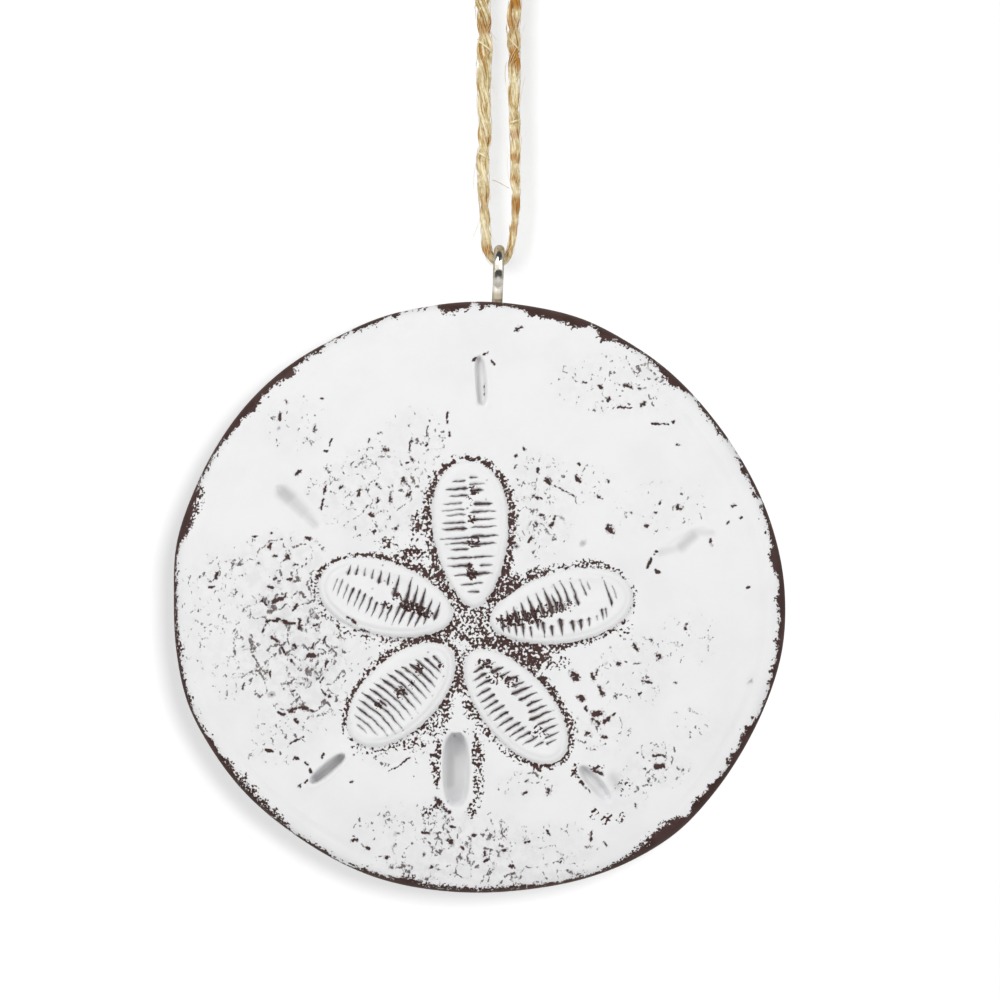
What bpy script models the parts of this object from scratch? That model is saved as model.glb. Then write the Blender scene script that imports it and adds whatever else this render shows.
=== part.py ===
"""Sand dollar ornament: a cast relief disc with a screw eye in its top edge, hung from a loop of twine.

The front faces -Y and Z is up. The origin is the hanging point, in the top of the loop just under its knot.
Sizes are in millimetres and are scaled to metres when a mesh or curve is finished.
"""
import math

import bmesh
import bpy
from mathutils import Matrix, Vector

MM = 0.001
GAP = 0.3
WELD = 0.01
SHARP_ANGLE = 40.0

# The disc: its centre, and its radius every 30 degrees from the right, anticlockwise seen from the front
DISC_CENTRE = (-2.3, -86.6)
RIM_RADII = (40.0, 38.5, 38.9, 38.9, 39.2, 40.0, 40.4, 40.6, 39.4, 38.8, 39.8, 40.0)
MEAN_RADIUS = sum(RIM_RADII) / len(RIM_RADII)
RIM_SIDES = 64
BACK_DEPTH = 3.4
EDGE_HEIGHT = 2.6
CROWN_HEIGHT = 4.7
# The turned section from the front of the rounded edge to the back: distance in from the rim, height
EDGE_SECTION = (
    (3.0, EDGE_HEIGHT),
    (1.4, 2.25),
    (0.45, 1.5),
    (0.0, 0.3),
    (0.0, -1.9),
    (0.5, -3.0),
    (1.5, -BACK_DEPTH),
)
DOME_STEPS = 4

# The petals: near end, far end, width, narrowing towards the near end, grooves in each row
PETALS = {
    "top": ((-0.8, -1.3), (-1.8, 17.9), 9.8, 0.24, 16),
    "upper_left": ((-3.7, -2.6), (-21.1, 2.3), 9.6, 0.14, 15),
    "right": ((1.2, -3.3), (19.8, 0.7), 9.3, 0.16, 15),
    "lower_left": ((-4.1, -6.7), (-16.7, -18.5), 9.5, 0.02, 13),
    "lower_right": ((-1.4, -7.2), (10.4, -21.1), 9.0, 0.06, 14),
}
PETAL_SIDES = 28
# A petal's section from its buried foot to the flat field: distance in from its outline, rise above the dome
PETAL_SECTION = ((-0.1, -1.2), (0.0, 0.05), (0.35, 0.6), (0.9, 0.85), (1.4, 0.62), (1.65, 0.3))
FIELD_INSET = 1.65
FIELD_RISE = 0.3
GROOVE_WIDTH = 0.56
GROOVE_DEPTH = 0.5
GROOVE_LIFT = 0.15
GROOVE_REACH = 0.97
MIDLINE_WIDTH = 0.25

# The blind slots: centre, length, width, angle of the long axis in degrees, depth
SLOTS = {
    "lower_middle": ((-3.1, -23.1), 10.2, 4.2, 90.0, 2.9),
    "lower_right": ((15.7, -25.3), 8.0, 3.1, -52.0, 2.0),
    "lower_left": ((-20.0, -22.3), 5.8, 1.7, 42.0, 1.3),
    "upper_left": ((-23.8, 12.0), 7.8, 2.0, -46.0, 0.8),
    "right": ((26.7, 7.4), 7.4, 2.2, 23.0, 0.6),
    "top": ((0.1, 28.4), 6.6, 1.4, 95.0, 0.7),
}
SLOT_SIDES = 14

# The screw eye, a bent wire seen edge-on from the front, leaning a little to the right
WIRE_RADIUS = 0.68
RING_RADIUS = 2.2
EYE_TOP = (0.15, -40.3)
EYE_LEAN = 2.5
RING_START = -60.0
RING_END = 250.0
RING_STEP = 10.0
BEND_STEPS = 4
NECK_DROP = 0.9
SHANK_DEPTH = 8.5
TIP_LENGTH = 2.0
TIP_SCALE = 0.35
HOLE_SIDES = 14

# The twine's route: height, then the left and the right strand's place across, from the knot to the eye
TWINE_RADIUS = 0.9
TWINE_ROWS = (
    (-0.3, -1.05, 1.05),
    (-2.9, -1.58, 1.56),
    (-5.5, -1.97, 1.98),
    (-8.1, -2.13, 2.21),
    (-11.4, -1.93, 1.98),
    (-14.7, -1.80, 2.09),
    (-18.0, -1.96, 2.09),
    (-21.3, -1.93, 2.01),
    (-24.6, -1.83, 2.17),
    (-27.9, -1.96, 2.19),
    (-31.1, -2.01, 2.22),
    (-34.4, -1.88, 2.30),
    (-37.0, -1.72, 2.11),
    (-39.2, -1.64, 1.87),
    (-40.6, -1.50, 1.66),
    (-41.7, -1.12, 1.26),
    (-42.35, -0.55, 0.68),
)
TWINE_LOWEST = (0.06, -42.55)
TWINE_SAMPLES = 2
PINCH_START = -33.0
PINCH_SCALE = 0.62

# The knot: its ball, two slanting turns round it and two tails
KNOT_HEIGHT = 2.3
KNOT_SIZE = (2.3, 2.0, 2.3)
TURN_RADIUS = 1.75
TURN_TILTS = (28.0, -32.0)
TURN_STEPS = 20
TAILS = (
    ((-0.5, 0.0, 3.2), (-1.1, -0.4, 5.2), (-1.9, -0.7, 7.4), (-3.1, -0.6, 10.2)),
    ((0.5, 0.0, 3.2), (1.0, 0.5, 5.4), (1.6, 0.8, 8.0), (1.5, 0.6, 11.2)),
)
TAIL_RADIUS = 0.85
TAIL_SAMPLES = 3

COLOURS = {
    "painted_casting": ((0.80, 0.79, 0.78), 0.75, 0.0),
    "nickel_wire": ((0.72, 0.69, 0.62), 0.28, 1.0),
    "jute": ((0.62, 0.47, 0.25), 0.9, 0.0),
}


def clear_scene():
    for item in list(bpy.data.objects):
        bpy.data.objects.remove(item, do_unlink=True)


def new_collection(name):
    collection = bpy.data.collections.new(name)
    bpy.context.scene.collection.children.link(collection)
    return collection


def new_material(name):
    colour, roughness, metallic = COLOURS[name]
    material = bpy.data.materials.new(name)
    material.use_nodes = True
    shader = material.node_tree.nodes["Principled BSDF"]
    shader.inputs["Base Color"].default_value = (*colour, 1.0)
    shader.inputs["Roughness"].default_value = roughness
    shader.inputs["Metallic"].default_value = metallic
    return material


def place_object(name, data, collection, material=None):
    item = bpy.data.objects.new(name, data)
    collection.objects.link(item)
    if material:
        data.materials.append(material)
    return item


def finish_mesh(name, bm, collection, material=None):
    """Scales a bmesh from millimetres, turns its faces out and makes an object of it."""
    bmesh.ops.scale(bm, vec=(MM, MM, MM), verts=bm.verts)
    bmesh.ops.recalc_face_normals(bm, faces=bm.faces)
    mesh = bpy.data.meshes.new(name)
    bm.to_mesh(mesh)
    bm.free()
    mesh.shade_smooth()
    mesh.set_sharp_from_angle(angle=math.radians(SHARP_ANGLE))
    return place_object(name, mesh, collection, material)


def make_guide(item):
    item.hide_render = True
    item.display_type = "WIRE"


def add_boolean(item, other, operation):
    modifier = item.modifiers.new(f"{operation.lower()}_{other.name}", "BOOLEAN")
    modifier.operation = operation
    modifier.solver = "EXACT"
    modifier.object = other


def smooth_between(before, start, end, after, share):
    """A cubic through start and end, whose slopes come from the points on either side."""
    square, cube = share**2, share**3
    return 0.5 * (
        2.0 * start
        + (end - before) * share
        + (2.0 * before - 5.0 * start + 4.0 * end - after) * square
        + (3.0 * start - before - 3.0 * end + after) * cube
    )


def rim_radius(angle):
    """The disc's radius in that direction, through the radii measured round the rim."""
    count = len(RIM_RADII)
    steps = (angle % math.tau) / math.tau * count
    index = int(steps)
    near = [RIM_RADII[(index + offset) % count] for offset in (-1, 0, 1, 2)]
    return smooth_between(*near, steps - index)


def dome_height(across, up):
    """The height of the plain front over the disc's middle plane."""
    share = math.hypot(across, up) / rim_radius(math.atan2(up, across))
    return EDGE_HEIGHT + (CROWN_HEIGHT - EDGE_HEIGHT) * (1.0 - min(share, 1.0) ** 2)


def disc_point(across, up, height):
    """A point given on the disc's face, with its height towards the front."""
    return Vector((DISC_CENTRE[0] + across, -height, DISC_CENTRE[1] + up))


def disc_section():
    """The turned section from the middle of the front to the middle of the back: distance in, height."""
    section = [(MEAN_RADIUS, CROWN_HEIGHT)]
    for step in range(1, DOME_STEPS):
        inset = MEAN_RADIUS + (EDGE_SECTION[0][0] - MEAN_RADIUS) * step / DOME_STEPS
        share = 1.0 - inset / MEAN_RADIUS
        section.append((inset, EDGE_HEIGHT + (CROWN_HEIGHT - EDGE_HEIGHT) * (1.0 - share**2)))
    section.extend(EDGE_SECTION)
    section.append((MEAN_RADIUS, -BACK_DEPTH))
    return section


def make_disc(collection, material):
    """The plain disc: a section turned about its centre, then drawn out to the uneven rim."""
    bm = bmesh.new()
    chain = [bm.verts.new((MEAN_RADIUS - inset, -height, 0.0)) for inset, height in disc_section()]
    edges = [bm.edges.new(pair) for pair in zip(chain, chain[1:])]
    bmesh.ops.spin(
        bm, geom=chain + edges, cent=(0.0, 0.0, 0.0), axis=(0.0, 1.0, 0.0),
        angle=math.tau, steps=RIM_SIDES, use_merge=True,
    )
    bmesh.ops.remove_doubles(bm, verts=bm.verts, dist=WELD)
    for vert in bm.verts:
        stretch = rim_radius(math.atan2(vert.co.z, vert.co.x)) / MEAN_RADIUS
        vert.co = disc_point(vert.co.x * stretch, vert.co.z * stretch, -vert.co.y)
    return finish_mesh("sand_dollar", bm, collection, material)


def petal_frame(petal):
    """A petal's near end, its unit direction outwards and its length."""
    near, far = Vector(petal[0]), Vector(petal[1])
    axis = far - near
    return near, axis.normalized(), axis.length


def egg_point(petal, turn, inset):
    """A point on a petal's egg outline, drawn in by inset; turn 0 is the near end."""
    near, axis, length = petal_frame(petal)
    width, narrowing = petal[2], petal[3]
    along = length / 2.0 - (length / 2.0 - inset) * math.cos(turn)
    side = (width / 2.0 - inset) * math.sin(turn) * (1.0 - narrowing * math.cos(turn))
    return near + axis * along + Vector((-axis.y, axis.x)) * side


def field_height(petal, point):
    """The height of a petal's flat field, a plane that follows the dome from its near to its far end."""
    near, axis, length = petal_frame(petal)
    near_height = dome_height(*near)
    slope = (dome_height(*petal[1]) - near_height) / length
    middle = near + axis * length / 2.0
    lift = dome_height(*middle) - (near_height + slope * length / 2.0)
    return near_height + slope * (Vector(point) - near).dot(axis) + lift / 2.0 + FIELD_RISE


def add_ring_stack(bm, sides, levels):
    """A closed tube of unit radius with one ring for each level, at whole heights."""
    first = bmesh.ops.create_circle(bm, cap_ends=True, segments=sides, radius=1.0)["verts"]
    edges = list(dict.fromkeys(edge for vert in first for edge in vert.link_edges))
    made = list(first)
    for _ in range(levels - 1):
        ring = bmesh.ops.extrude_edge_only(bm, edges=edges)["geom"]
        verts = [item for item in ring if isinstance(item, bmesh.types.BMVert)]
        edges = [e for e in ring if isinstance(e, bmesh.types.BMEdge) and all(v in verts for v in e.verts)]
        bmesh.ops.translate(bm, verts=verts, vec=(0.0, 0.0, 1.0))
        made.extend(verts)
    bmesh.ops.contextual_create(bm, geom=edges)
    return made


def make_petals(collection):
    """The five raised petals with rounded rims and flat fields, sunk into the disc."""
    bm = bmesh.new()
    for petal in PETALS.values():
        last = len(PETAL_SECTION) - 1
        for vert in add_ring_stack(bm, PETAL_SIDES, len(PETAL_SECTION)):
            turn = math.atan2(vert.co.y, vert.co.x)
            level = round(vert.co.z)
            inset, rise = PETAL_SECTION[level]
            point = egg_point(petal, turn, inset)
            height = field_height(petal, point) if level == last else dome_height(*point) + rise
            vert.co = disc_point(*point, height)
    item = finish_mesh("petals", bm, collection)
    make_guide(item)
    return item


def groove_length(petal, along):
    """How far a groove can reach to one side of a petal's midline at that place along it."""
    length = petal_frame(petal)[2]
    half = length / 2.0 - FIELD_INSET
    cosine = max(-1.0, min(1.0, (length / 2.0 - along) / half))
    side = (petal[2] / 2.0 - FIELD_INSET) * math.sqrt(1.0 - cosine**2) * (1.0 - petal[3] * cosine)
    return side * GROOVE_REACH


def make_grooves(collection):
    """The comb of grooves, two rows in each petal, as pointed wedges that cut its field."""
    bm = bmesh.new()
    for petal in PETALS.values():
        near, axis, length = petal_frame(petal)
        across = Vector((-axis.y, axis.x))
        pitch = (length - 2.0 * FIELD_INSET) / (petal[4] + 1)
        for number in range(1, petal[4] + 1):
            along = FIELD_INSET + pitch * number
            reach = groove_length(petal, along) - MIDLINE_WIDTH / 2.0
            if reach < GROOVE_WIDTH:
                continue
            for side in (-1.0, 1.0):
                centre = near + axis * along + across * side * (reach + MIDLINE_WIDTH) / 2.0
                field = field_height(petal, centre)
                wedge = bmesh.ops.create_cone(
                    bm, cap_ends=True, segments=6, radius1=1.0, radius2=0.0, depth=1.0,
                )["verts"]
                for vert in wedge:
                    drop = GROOVE_LIFT - (GROOVE_LIFT + GROOVE_DEPTH) * (vert.co.z + 0.5)
                    spread = vert.co.xy * (GROOVE_LIFT + GROOVE_DEPTH) / GROOVE_DEPTH / 2.0
                    point = centre + across * spread.x * reach + axis * spread.y * GROOVE_WIDTH
                    vert.co = disc_point(*point, field + drop)
    item = finish_mesh("grooves", bm, collection)
    make_guide(item)
    return item


def make_slots(collection):
    """The blind slots round the petals, as flattened balls that cut the front."""
    bm = bmesh.new()
    for centre, length, width, angle, depth in SLOTS.values():
        ball = bmesh.ops.create_uvsphere(bm, u_segments=SLOT_SIDES, v_segments=SLOT_SIDES // 2, radius=1.0)
        turn = math.radians(angle)
        axis = Vector((math.cos(turn), math.sin(turn)))
        across = Vector((-axis.y, axis.x))
        surface = dome_height(*centre)
        for vert in ball["verts"]:
            point = Vector(centre) + axis * vert.co.x * length / 2.0 + across * vert.co.y * width / 2.0
            vert.co = disc_point(*point, surface + vert.co.z * depth)
    item = finish_mesh("slots", bm, collection)
    make_guide(item)
    return item


def eye_matrix():
    """From the eye's own plane, with its ring centred at the origin, to its place."""
    lean = Matrix.Rotation(math.radians(EYE_LEAN), 4, "Y")
    top = RING_RADIUS + WIRE_RADIUS
    centre = Vector((EYE_TOP[0], 0.0, EYE_TOP[1])) - lean @ Vector((0.0, 0.0, top))
    return Matrix.Translation(centre) @ lean


def eye_route():
    """The wire's line, up the shank and round the ring: place across, height, share of the wire's radius."""
    neck = -RING_RADIUS - WIRE_RADIUS - NECK_DROP
    tip = neck - SHANK_DEPTH
    points = [(0.0, tip, TIP_SCALE), (0.0, tip + TIP_LENGTH, 1.0), (0.0, neck, 1.0)]
    start = math.radians(RING_START)
    ring = (RING_RADIUS * math.cos(start), RING_RADIUS * math.sin(start))
    corner = RING_RADIUS / math.sin(start)
    for step in range(1, BEND_STEPS):
        share = step / BEND_STEPS
        up = (1.0 - share) ** 2 * neck + 2.0 * share * (1.0 - share) * corner + share**2 * ring[1]
        points.append((share**2 * ring[0], up, 1.0))
    for step in range(round((RING_END - RING_START) / RING_STEP) + 1):
        angle = math.radians(RING_START + RING_STEP * step)
        points.append((RING_RADIUS * math.cos(angle), RING_RADIUS * math.sin(angle), 1.0))
    return points


def make_tube(name, points, radius, collection, material):
    """A round tube along points, each with its own share of the radius."""
    curve = bpy.data.curves.new(name, "CURVE")
    curve.dimensions = "3D"
    curve.bevel_depth = radius * MM
    curve.bevel_resolution = 2
    curve.use_fill_caps = True
    spline = curve.splines.new("POLY")
    spline.points.add(len(points) - 1)
    for target, (place, share) in zip(spline.points, points):
        target.co = (*(Vector(place) * MM), 1.0)
        target.radius = share
    return place_object(name, curve, collection, material)


def make_eye(collection, material):
    matrix = eye_matrix()
    points = [(matrix @ Vector((0.0, across, up)), share) for across, up, share in eye_route()]
    return make_tube("screw_eye", points, WIRE_RADIUS, collection, material)


def make_eye_hole(collection):
    """The blind hole for the eye's shank, from above the rim down into the disc."""
    bm = bmesh.new()
    tip = -RING_RADIUS - WIRE_RADIUS - NECK_DROP - SHANK_DEPTH - GAP
    depth = SHANK_DEPTH + NECK_DROP
    place = eye_matrix() @ Matrix.Translation((0.0, 0.0, tip + depth / 2.0))
    radius = WIRE_RADIUS + GAP
    bmesh.ops.create_cone(
        bm, cap_ends=True, segments=HOLE_SIDES, radius1=radius, radius2=radius, depth=depth, matrix=place,
    )
    item = finish_mesh("eye_hole", bm, collection)
    make_guide(item)
    return item


def twine_route():
    """The route's own points, down the left strand, through the eye and up the right one."""
    left = [(row[1], row[0]) for row in TWINE_ROWS]
    right = [(row[2], row[0]) for row in reversed(TWINE_ROWS)]
    return left + [TWINE_LOWEST] + right


def read_smoothly(route, samples):
    """Points read from one smooth curve through the route's points."""
    points = []
    for index in range(len(route) - 1):
        around = [route[max(0, min(len(route) - 1, index + offset))] for offset in (-1, 0, 1, 2)]
        for step in range(samples):
            share = step / samples
            points.append(tuple(smooth_between(*values, share) for values in zip(*around)))
    points.append(route[-1])
    return points


def make_twine(collection, material):
    """The twine's tube, which thins towards the eye, where it is pulled tight."""
    points = []
    for across, up in read_smoothly(twine_route(), TWINE_SAMPLES):
        share = max(0.0, min(1.0, (PINCH_START - up) / (PINCH_START - TWINE_LOWEST[1])))
        points.append(((across, 0.0, up), 1.0 + (PINCH_SCALE - 1.0) * share))
    return make_tube("twine_loop", points, TWINE_RADIUS, collection, material)


def mesh_from_curve(item):
    """A closed mesh object in a curve's place, with its loose caps welded on."""
    graph = bpy.context.evaluated_depsgraph_get()
    mesh = bpy.data.meshes.new_from_object(item.evaluated_get(graph))
    bm = bmesh.new()
    bm.from_mesh(mesh)
    bmesh.ops.remove_doubles(bm, verts=bm.verts, dist=WELD * MM)
    bmesh.ops.recalc_face_normals(bm, faces=bm.faces)
    bm.to_mesh(mesh)
    bm.free()
    made = place_object(f"{item.name}_mesh", mesh, item.users_collection[0])
    made.matrix_world = item.matrix_world.copy()
    bpy.data.objects.remove(item, do_unlink=True)
    return made


def make_knot(collection, cutters, material):
    """The knot: a ball with two slanting turns round it and two tails, joined in one solid."""
    bm = bmesh.new()
    bmesh.ops.create_uvsphere(bm, u_segments=14, v_segments=8, radius=1.0)
    bmesh.ops.scale(bm, vec=KNOT_SIZE, verts=bm.verts)
    bmesh.ops.translate(bm, vec=(0.0, 0.0, KNOT_HEIGHT), verts=bm.verts)
    knot = finish_mesh("twine_knot", bm, collection, material)
    for number, tilt in enumerate(TURN_TILTS):
        name = f"knot_turn_{number}"
        lean = Matrix.Rotation(math.radians(tilt), 3, "Y")
        points = []
        for step in range(TURN_STEPS):
            angle = math.tau * step / TURN_STEPS
            place = lean @ Vector((TURN_RADIUS * math.cos(angle), TURN_RADIUS * math.sin(angle), 0.0))
            points.append((place + Vector((0.0, 0.0, KNOT_HEIGHT)), 1.0))
        turn = make_tube(name, points, TWINE_RADIUS, cutters, None)
        turn.data.splines[0].use_cyclic_u = True
        turn = mesh_from_curve(turn)
        make_guide(turn)
        add_boolean(knot, turn, "UNION")
    for number, route in enumerate(TAILS):
        points = [(place, 1.0) for place in read_smoothly(route, TAIL_SAMPLES)]
        tail = mesh_from_curve(make_tube(f"knot_tail_{number}", points, TAIL_RADIUS, cutters, None))
        make_guide(tail)
        add_boolean(knot, tail, "UNION")
    return knot


def main():
    clear_scene()
    parts = new_collection("sand_dollar_ornament")
    cutters = new_collection("cutters")
    casting = new_material("painted_casting")
    wire = new_material("nickel_wire")
    jute = new_material("jute")
    disc = make_disc(parts, casting)
    add_boolean(disc, make_petals(cutters), "UNION")
    add_boolean(disc, make_grooves(cutters), "DIFFERENCE")
    add_boolean(disc, make_slots(cutters), "DIFFERENCE")
    add_boolean(disc, make_eye_hole(cutters), "DIFFERENCE")
    make_eye(parts, wire)
    make_twine(parts, jute)
    make_knot(parts, cutters, jute)


main()
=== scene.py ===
"""Sand dollar ornament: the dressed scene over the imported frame.

A cast disc with five petals, painted white over a dark brown base that shows where the paint is worn,
a nickel screw eye in its top edge, and a loop of two-ply twine that ends in a knot.
Sizes are in millimetres and are scaled to metres when a mesh is finished. The front faces -Y.
"""
import math

import bmesh
import bpy
import numpy as np
from bpy.props import FloatProperty, FloatVectorProperty, IntProperty, PointerProperty
from mathutils import Matrix, Vector, noise


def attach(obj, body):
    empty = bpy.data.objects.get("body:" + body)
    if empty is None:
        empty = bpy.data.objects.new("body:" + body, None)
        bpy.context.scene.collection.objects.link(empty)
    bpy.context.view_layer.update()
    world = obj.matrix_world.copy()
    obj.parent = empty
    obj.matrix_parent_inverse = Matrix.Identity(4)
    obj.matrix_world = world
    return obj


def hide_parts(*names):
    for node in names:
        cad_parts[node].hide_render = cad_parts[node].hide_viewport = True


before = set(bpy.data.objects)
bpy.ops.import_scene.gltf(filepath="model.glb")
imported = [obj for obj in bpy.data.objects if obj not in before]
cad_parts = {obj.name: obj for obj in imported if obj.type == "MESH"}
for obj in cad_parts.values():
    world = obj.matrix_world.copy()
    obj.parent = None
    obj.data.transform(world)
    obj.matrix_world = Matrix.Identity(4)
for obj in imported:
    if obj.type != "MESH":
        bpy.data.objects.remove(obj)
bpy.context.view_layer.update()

bl_info = {
    "name": "Sand Dollar Ornament",
    "version": (1, 0, 0),
    "blender": (4, 5, 0),
    "location": "View3D > Sidebar > Ornament",
    "description": "Builds a worn cast sand dollar that hangs from a loop of twine",
    "category": "Object",
}

MM = 0.001
BODY = "root"

# The photograph's frame: its middle and its width
VIEW_CENTRE = (0.2, -73.82)
VIEW_WIDTH = 131.36
CAMERA_DISTANCE = 800.0
SENSOR_WIDTH = 36.0

# The disc: its centre, its radius every 30 degrees from the right, anticlockwise seen from the front,
# and how far the rim drifts from that every 10 degrees
DISC_CENTRE = (-2.3, -86.6)
RIM_RADII = (40.0, 38.5, 38.9, 38.9, 39.2, 40.0, 40.4, 40.6, 39.4, 38.8, 39.8, 40.0)
RIM_DRIFT = (
    -0.05, 0.0, 0.15, 0.15, 0.0, -0.1, -0.2, 0.0, -0.1, -0.05, -0.1, 0.0,
    -0.1, 0.1, 0.1, 0.0, 0.05, 0.3, -0.05, 0.1, 0.3, 0.0, -0.05, -0.1,
    0.05, 0.2, 0.1, 0.0, -0.15, -0.1, 0.05, 0.25, 0.0, -0.15, -0.1, 0.05,
)
BACK_DEPTH = 3.4
EDGE_HEIGHT = 2.6
CROWN_HEIGHT = 4.7
FRONT_INSET = 3.0
GRID_CELLS = 106
# The turned section from the front of the rounded edge to the back: distance in from the rim, height
EDGE_RINGS = (
    (2.6, 2.62), (2.2, 2.57), (1.8, 2.5), (1.4, 2.4), (1.05, 2.26), (0.75, 2.07), (0.5, 1.82), (0.28, 1.48),
    (0.12, 1.05), (0.03, 0.55), (0.0, 0.0), (0.0, -0.7), (0.0, -1.4), (0.03, -2.0), (0.15, -2.48),
    (0.4, -2.87), (0.75, -3.17), (1.15, -3.34), (1.6, -3.4),
)
BACK_RINGS = (2.6, 4.5, 8.0, 14.0, 22.0, 31.0)

# The petals: near end, far end, width, narrowing towards the near end
PETALS = {
    "top": ((-0.8, -1.3), (-1.8, 17.9), 9.8, 0.24),
    "upper_left": ((-3.7, -2.6), (-21.1, 2.3), 9.6, 0.14),
    "right": ((1.2, -3.3), (19.8, 0.7), 9.3, 0.16),
    "lower_left": ((-4.1, -6.7), (-16.7, -18.5), 9.5, 0.02),
    "lower_right": ((-1.4, -7.2), (10.4, -21.1), 9.0, 0.06),
}
OUTLINE_STEPS = 120
# A petal's section: distance in from its outline, rise above the dome
PETAL_SECTION = (
    (-2.4, 0.0), (-1.2, -0.05), (-0.35, -0.12), (0.0, -0.03), (0.22, 0.28), (0.5, 0.5), (0.9, 0.6),
    (1.4, 0.62), (1.9, 0.52), (2.4, 0.47), (5.0, 0.54),
)
# The crease inside a petal's rim: the turn round the petal where it is strongest, how strong it is
PETAL_CREASES = {
    "top": (270.0, 0.25), "upper_left": (130.0, 1.0), "right": (220.0, 0.6), "lower_left": (60.0, 0.9),
    "lower_right": (240.0, 0.6),
}
CREASE_INSET = 0.85
CREASE_DEPTH = 0.14
# How much grey shade is painted into a crease, from 0 to 1
CREASE_SHADE = 0.14
GROOVE_DEPTH = 0.42
# How a petal's grooves lie: lean in degrees, bow, narrowing from the midline outwards
COMBS = {
    "top": (0.0, 0.0, 0.3),
    "upper_left": (4.0, 0.02, 0.7),
    "right": (-4.0, -0.03, 0.65),
    "lower_left": (-4.0, 0.03, 0.35),
    "lower_right": (13.0, 0.02, 0.45),
}
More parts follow.
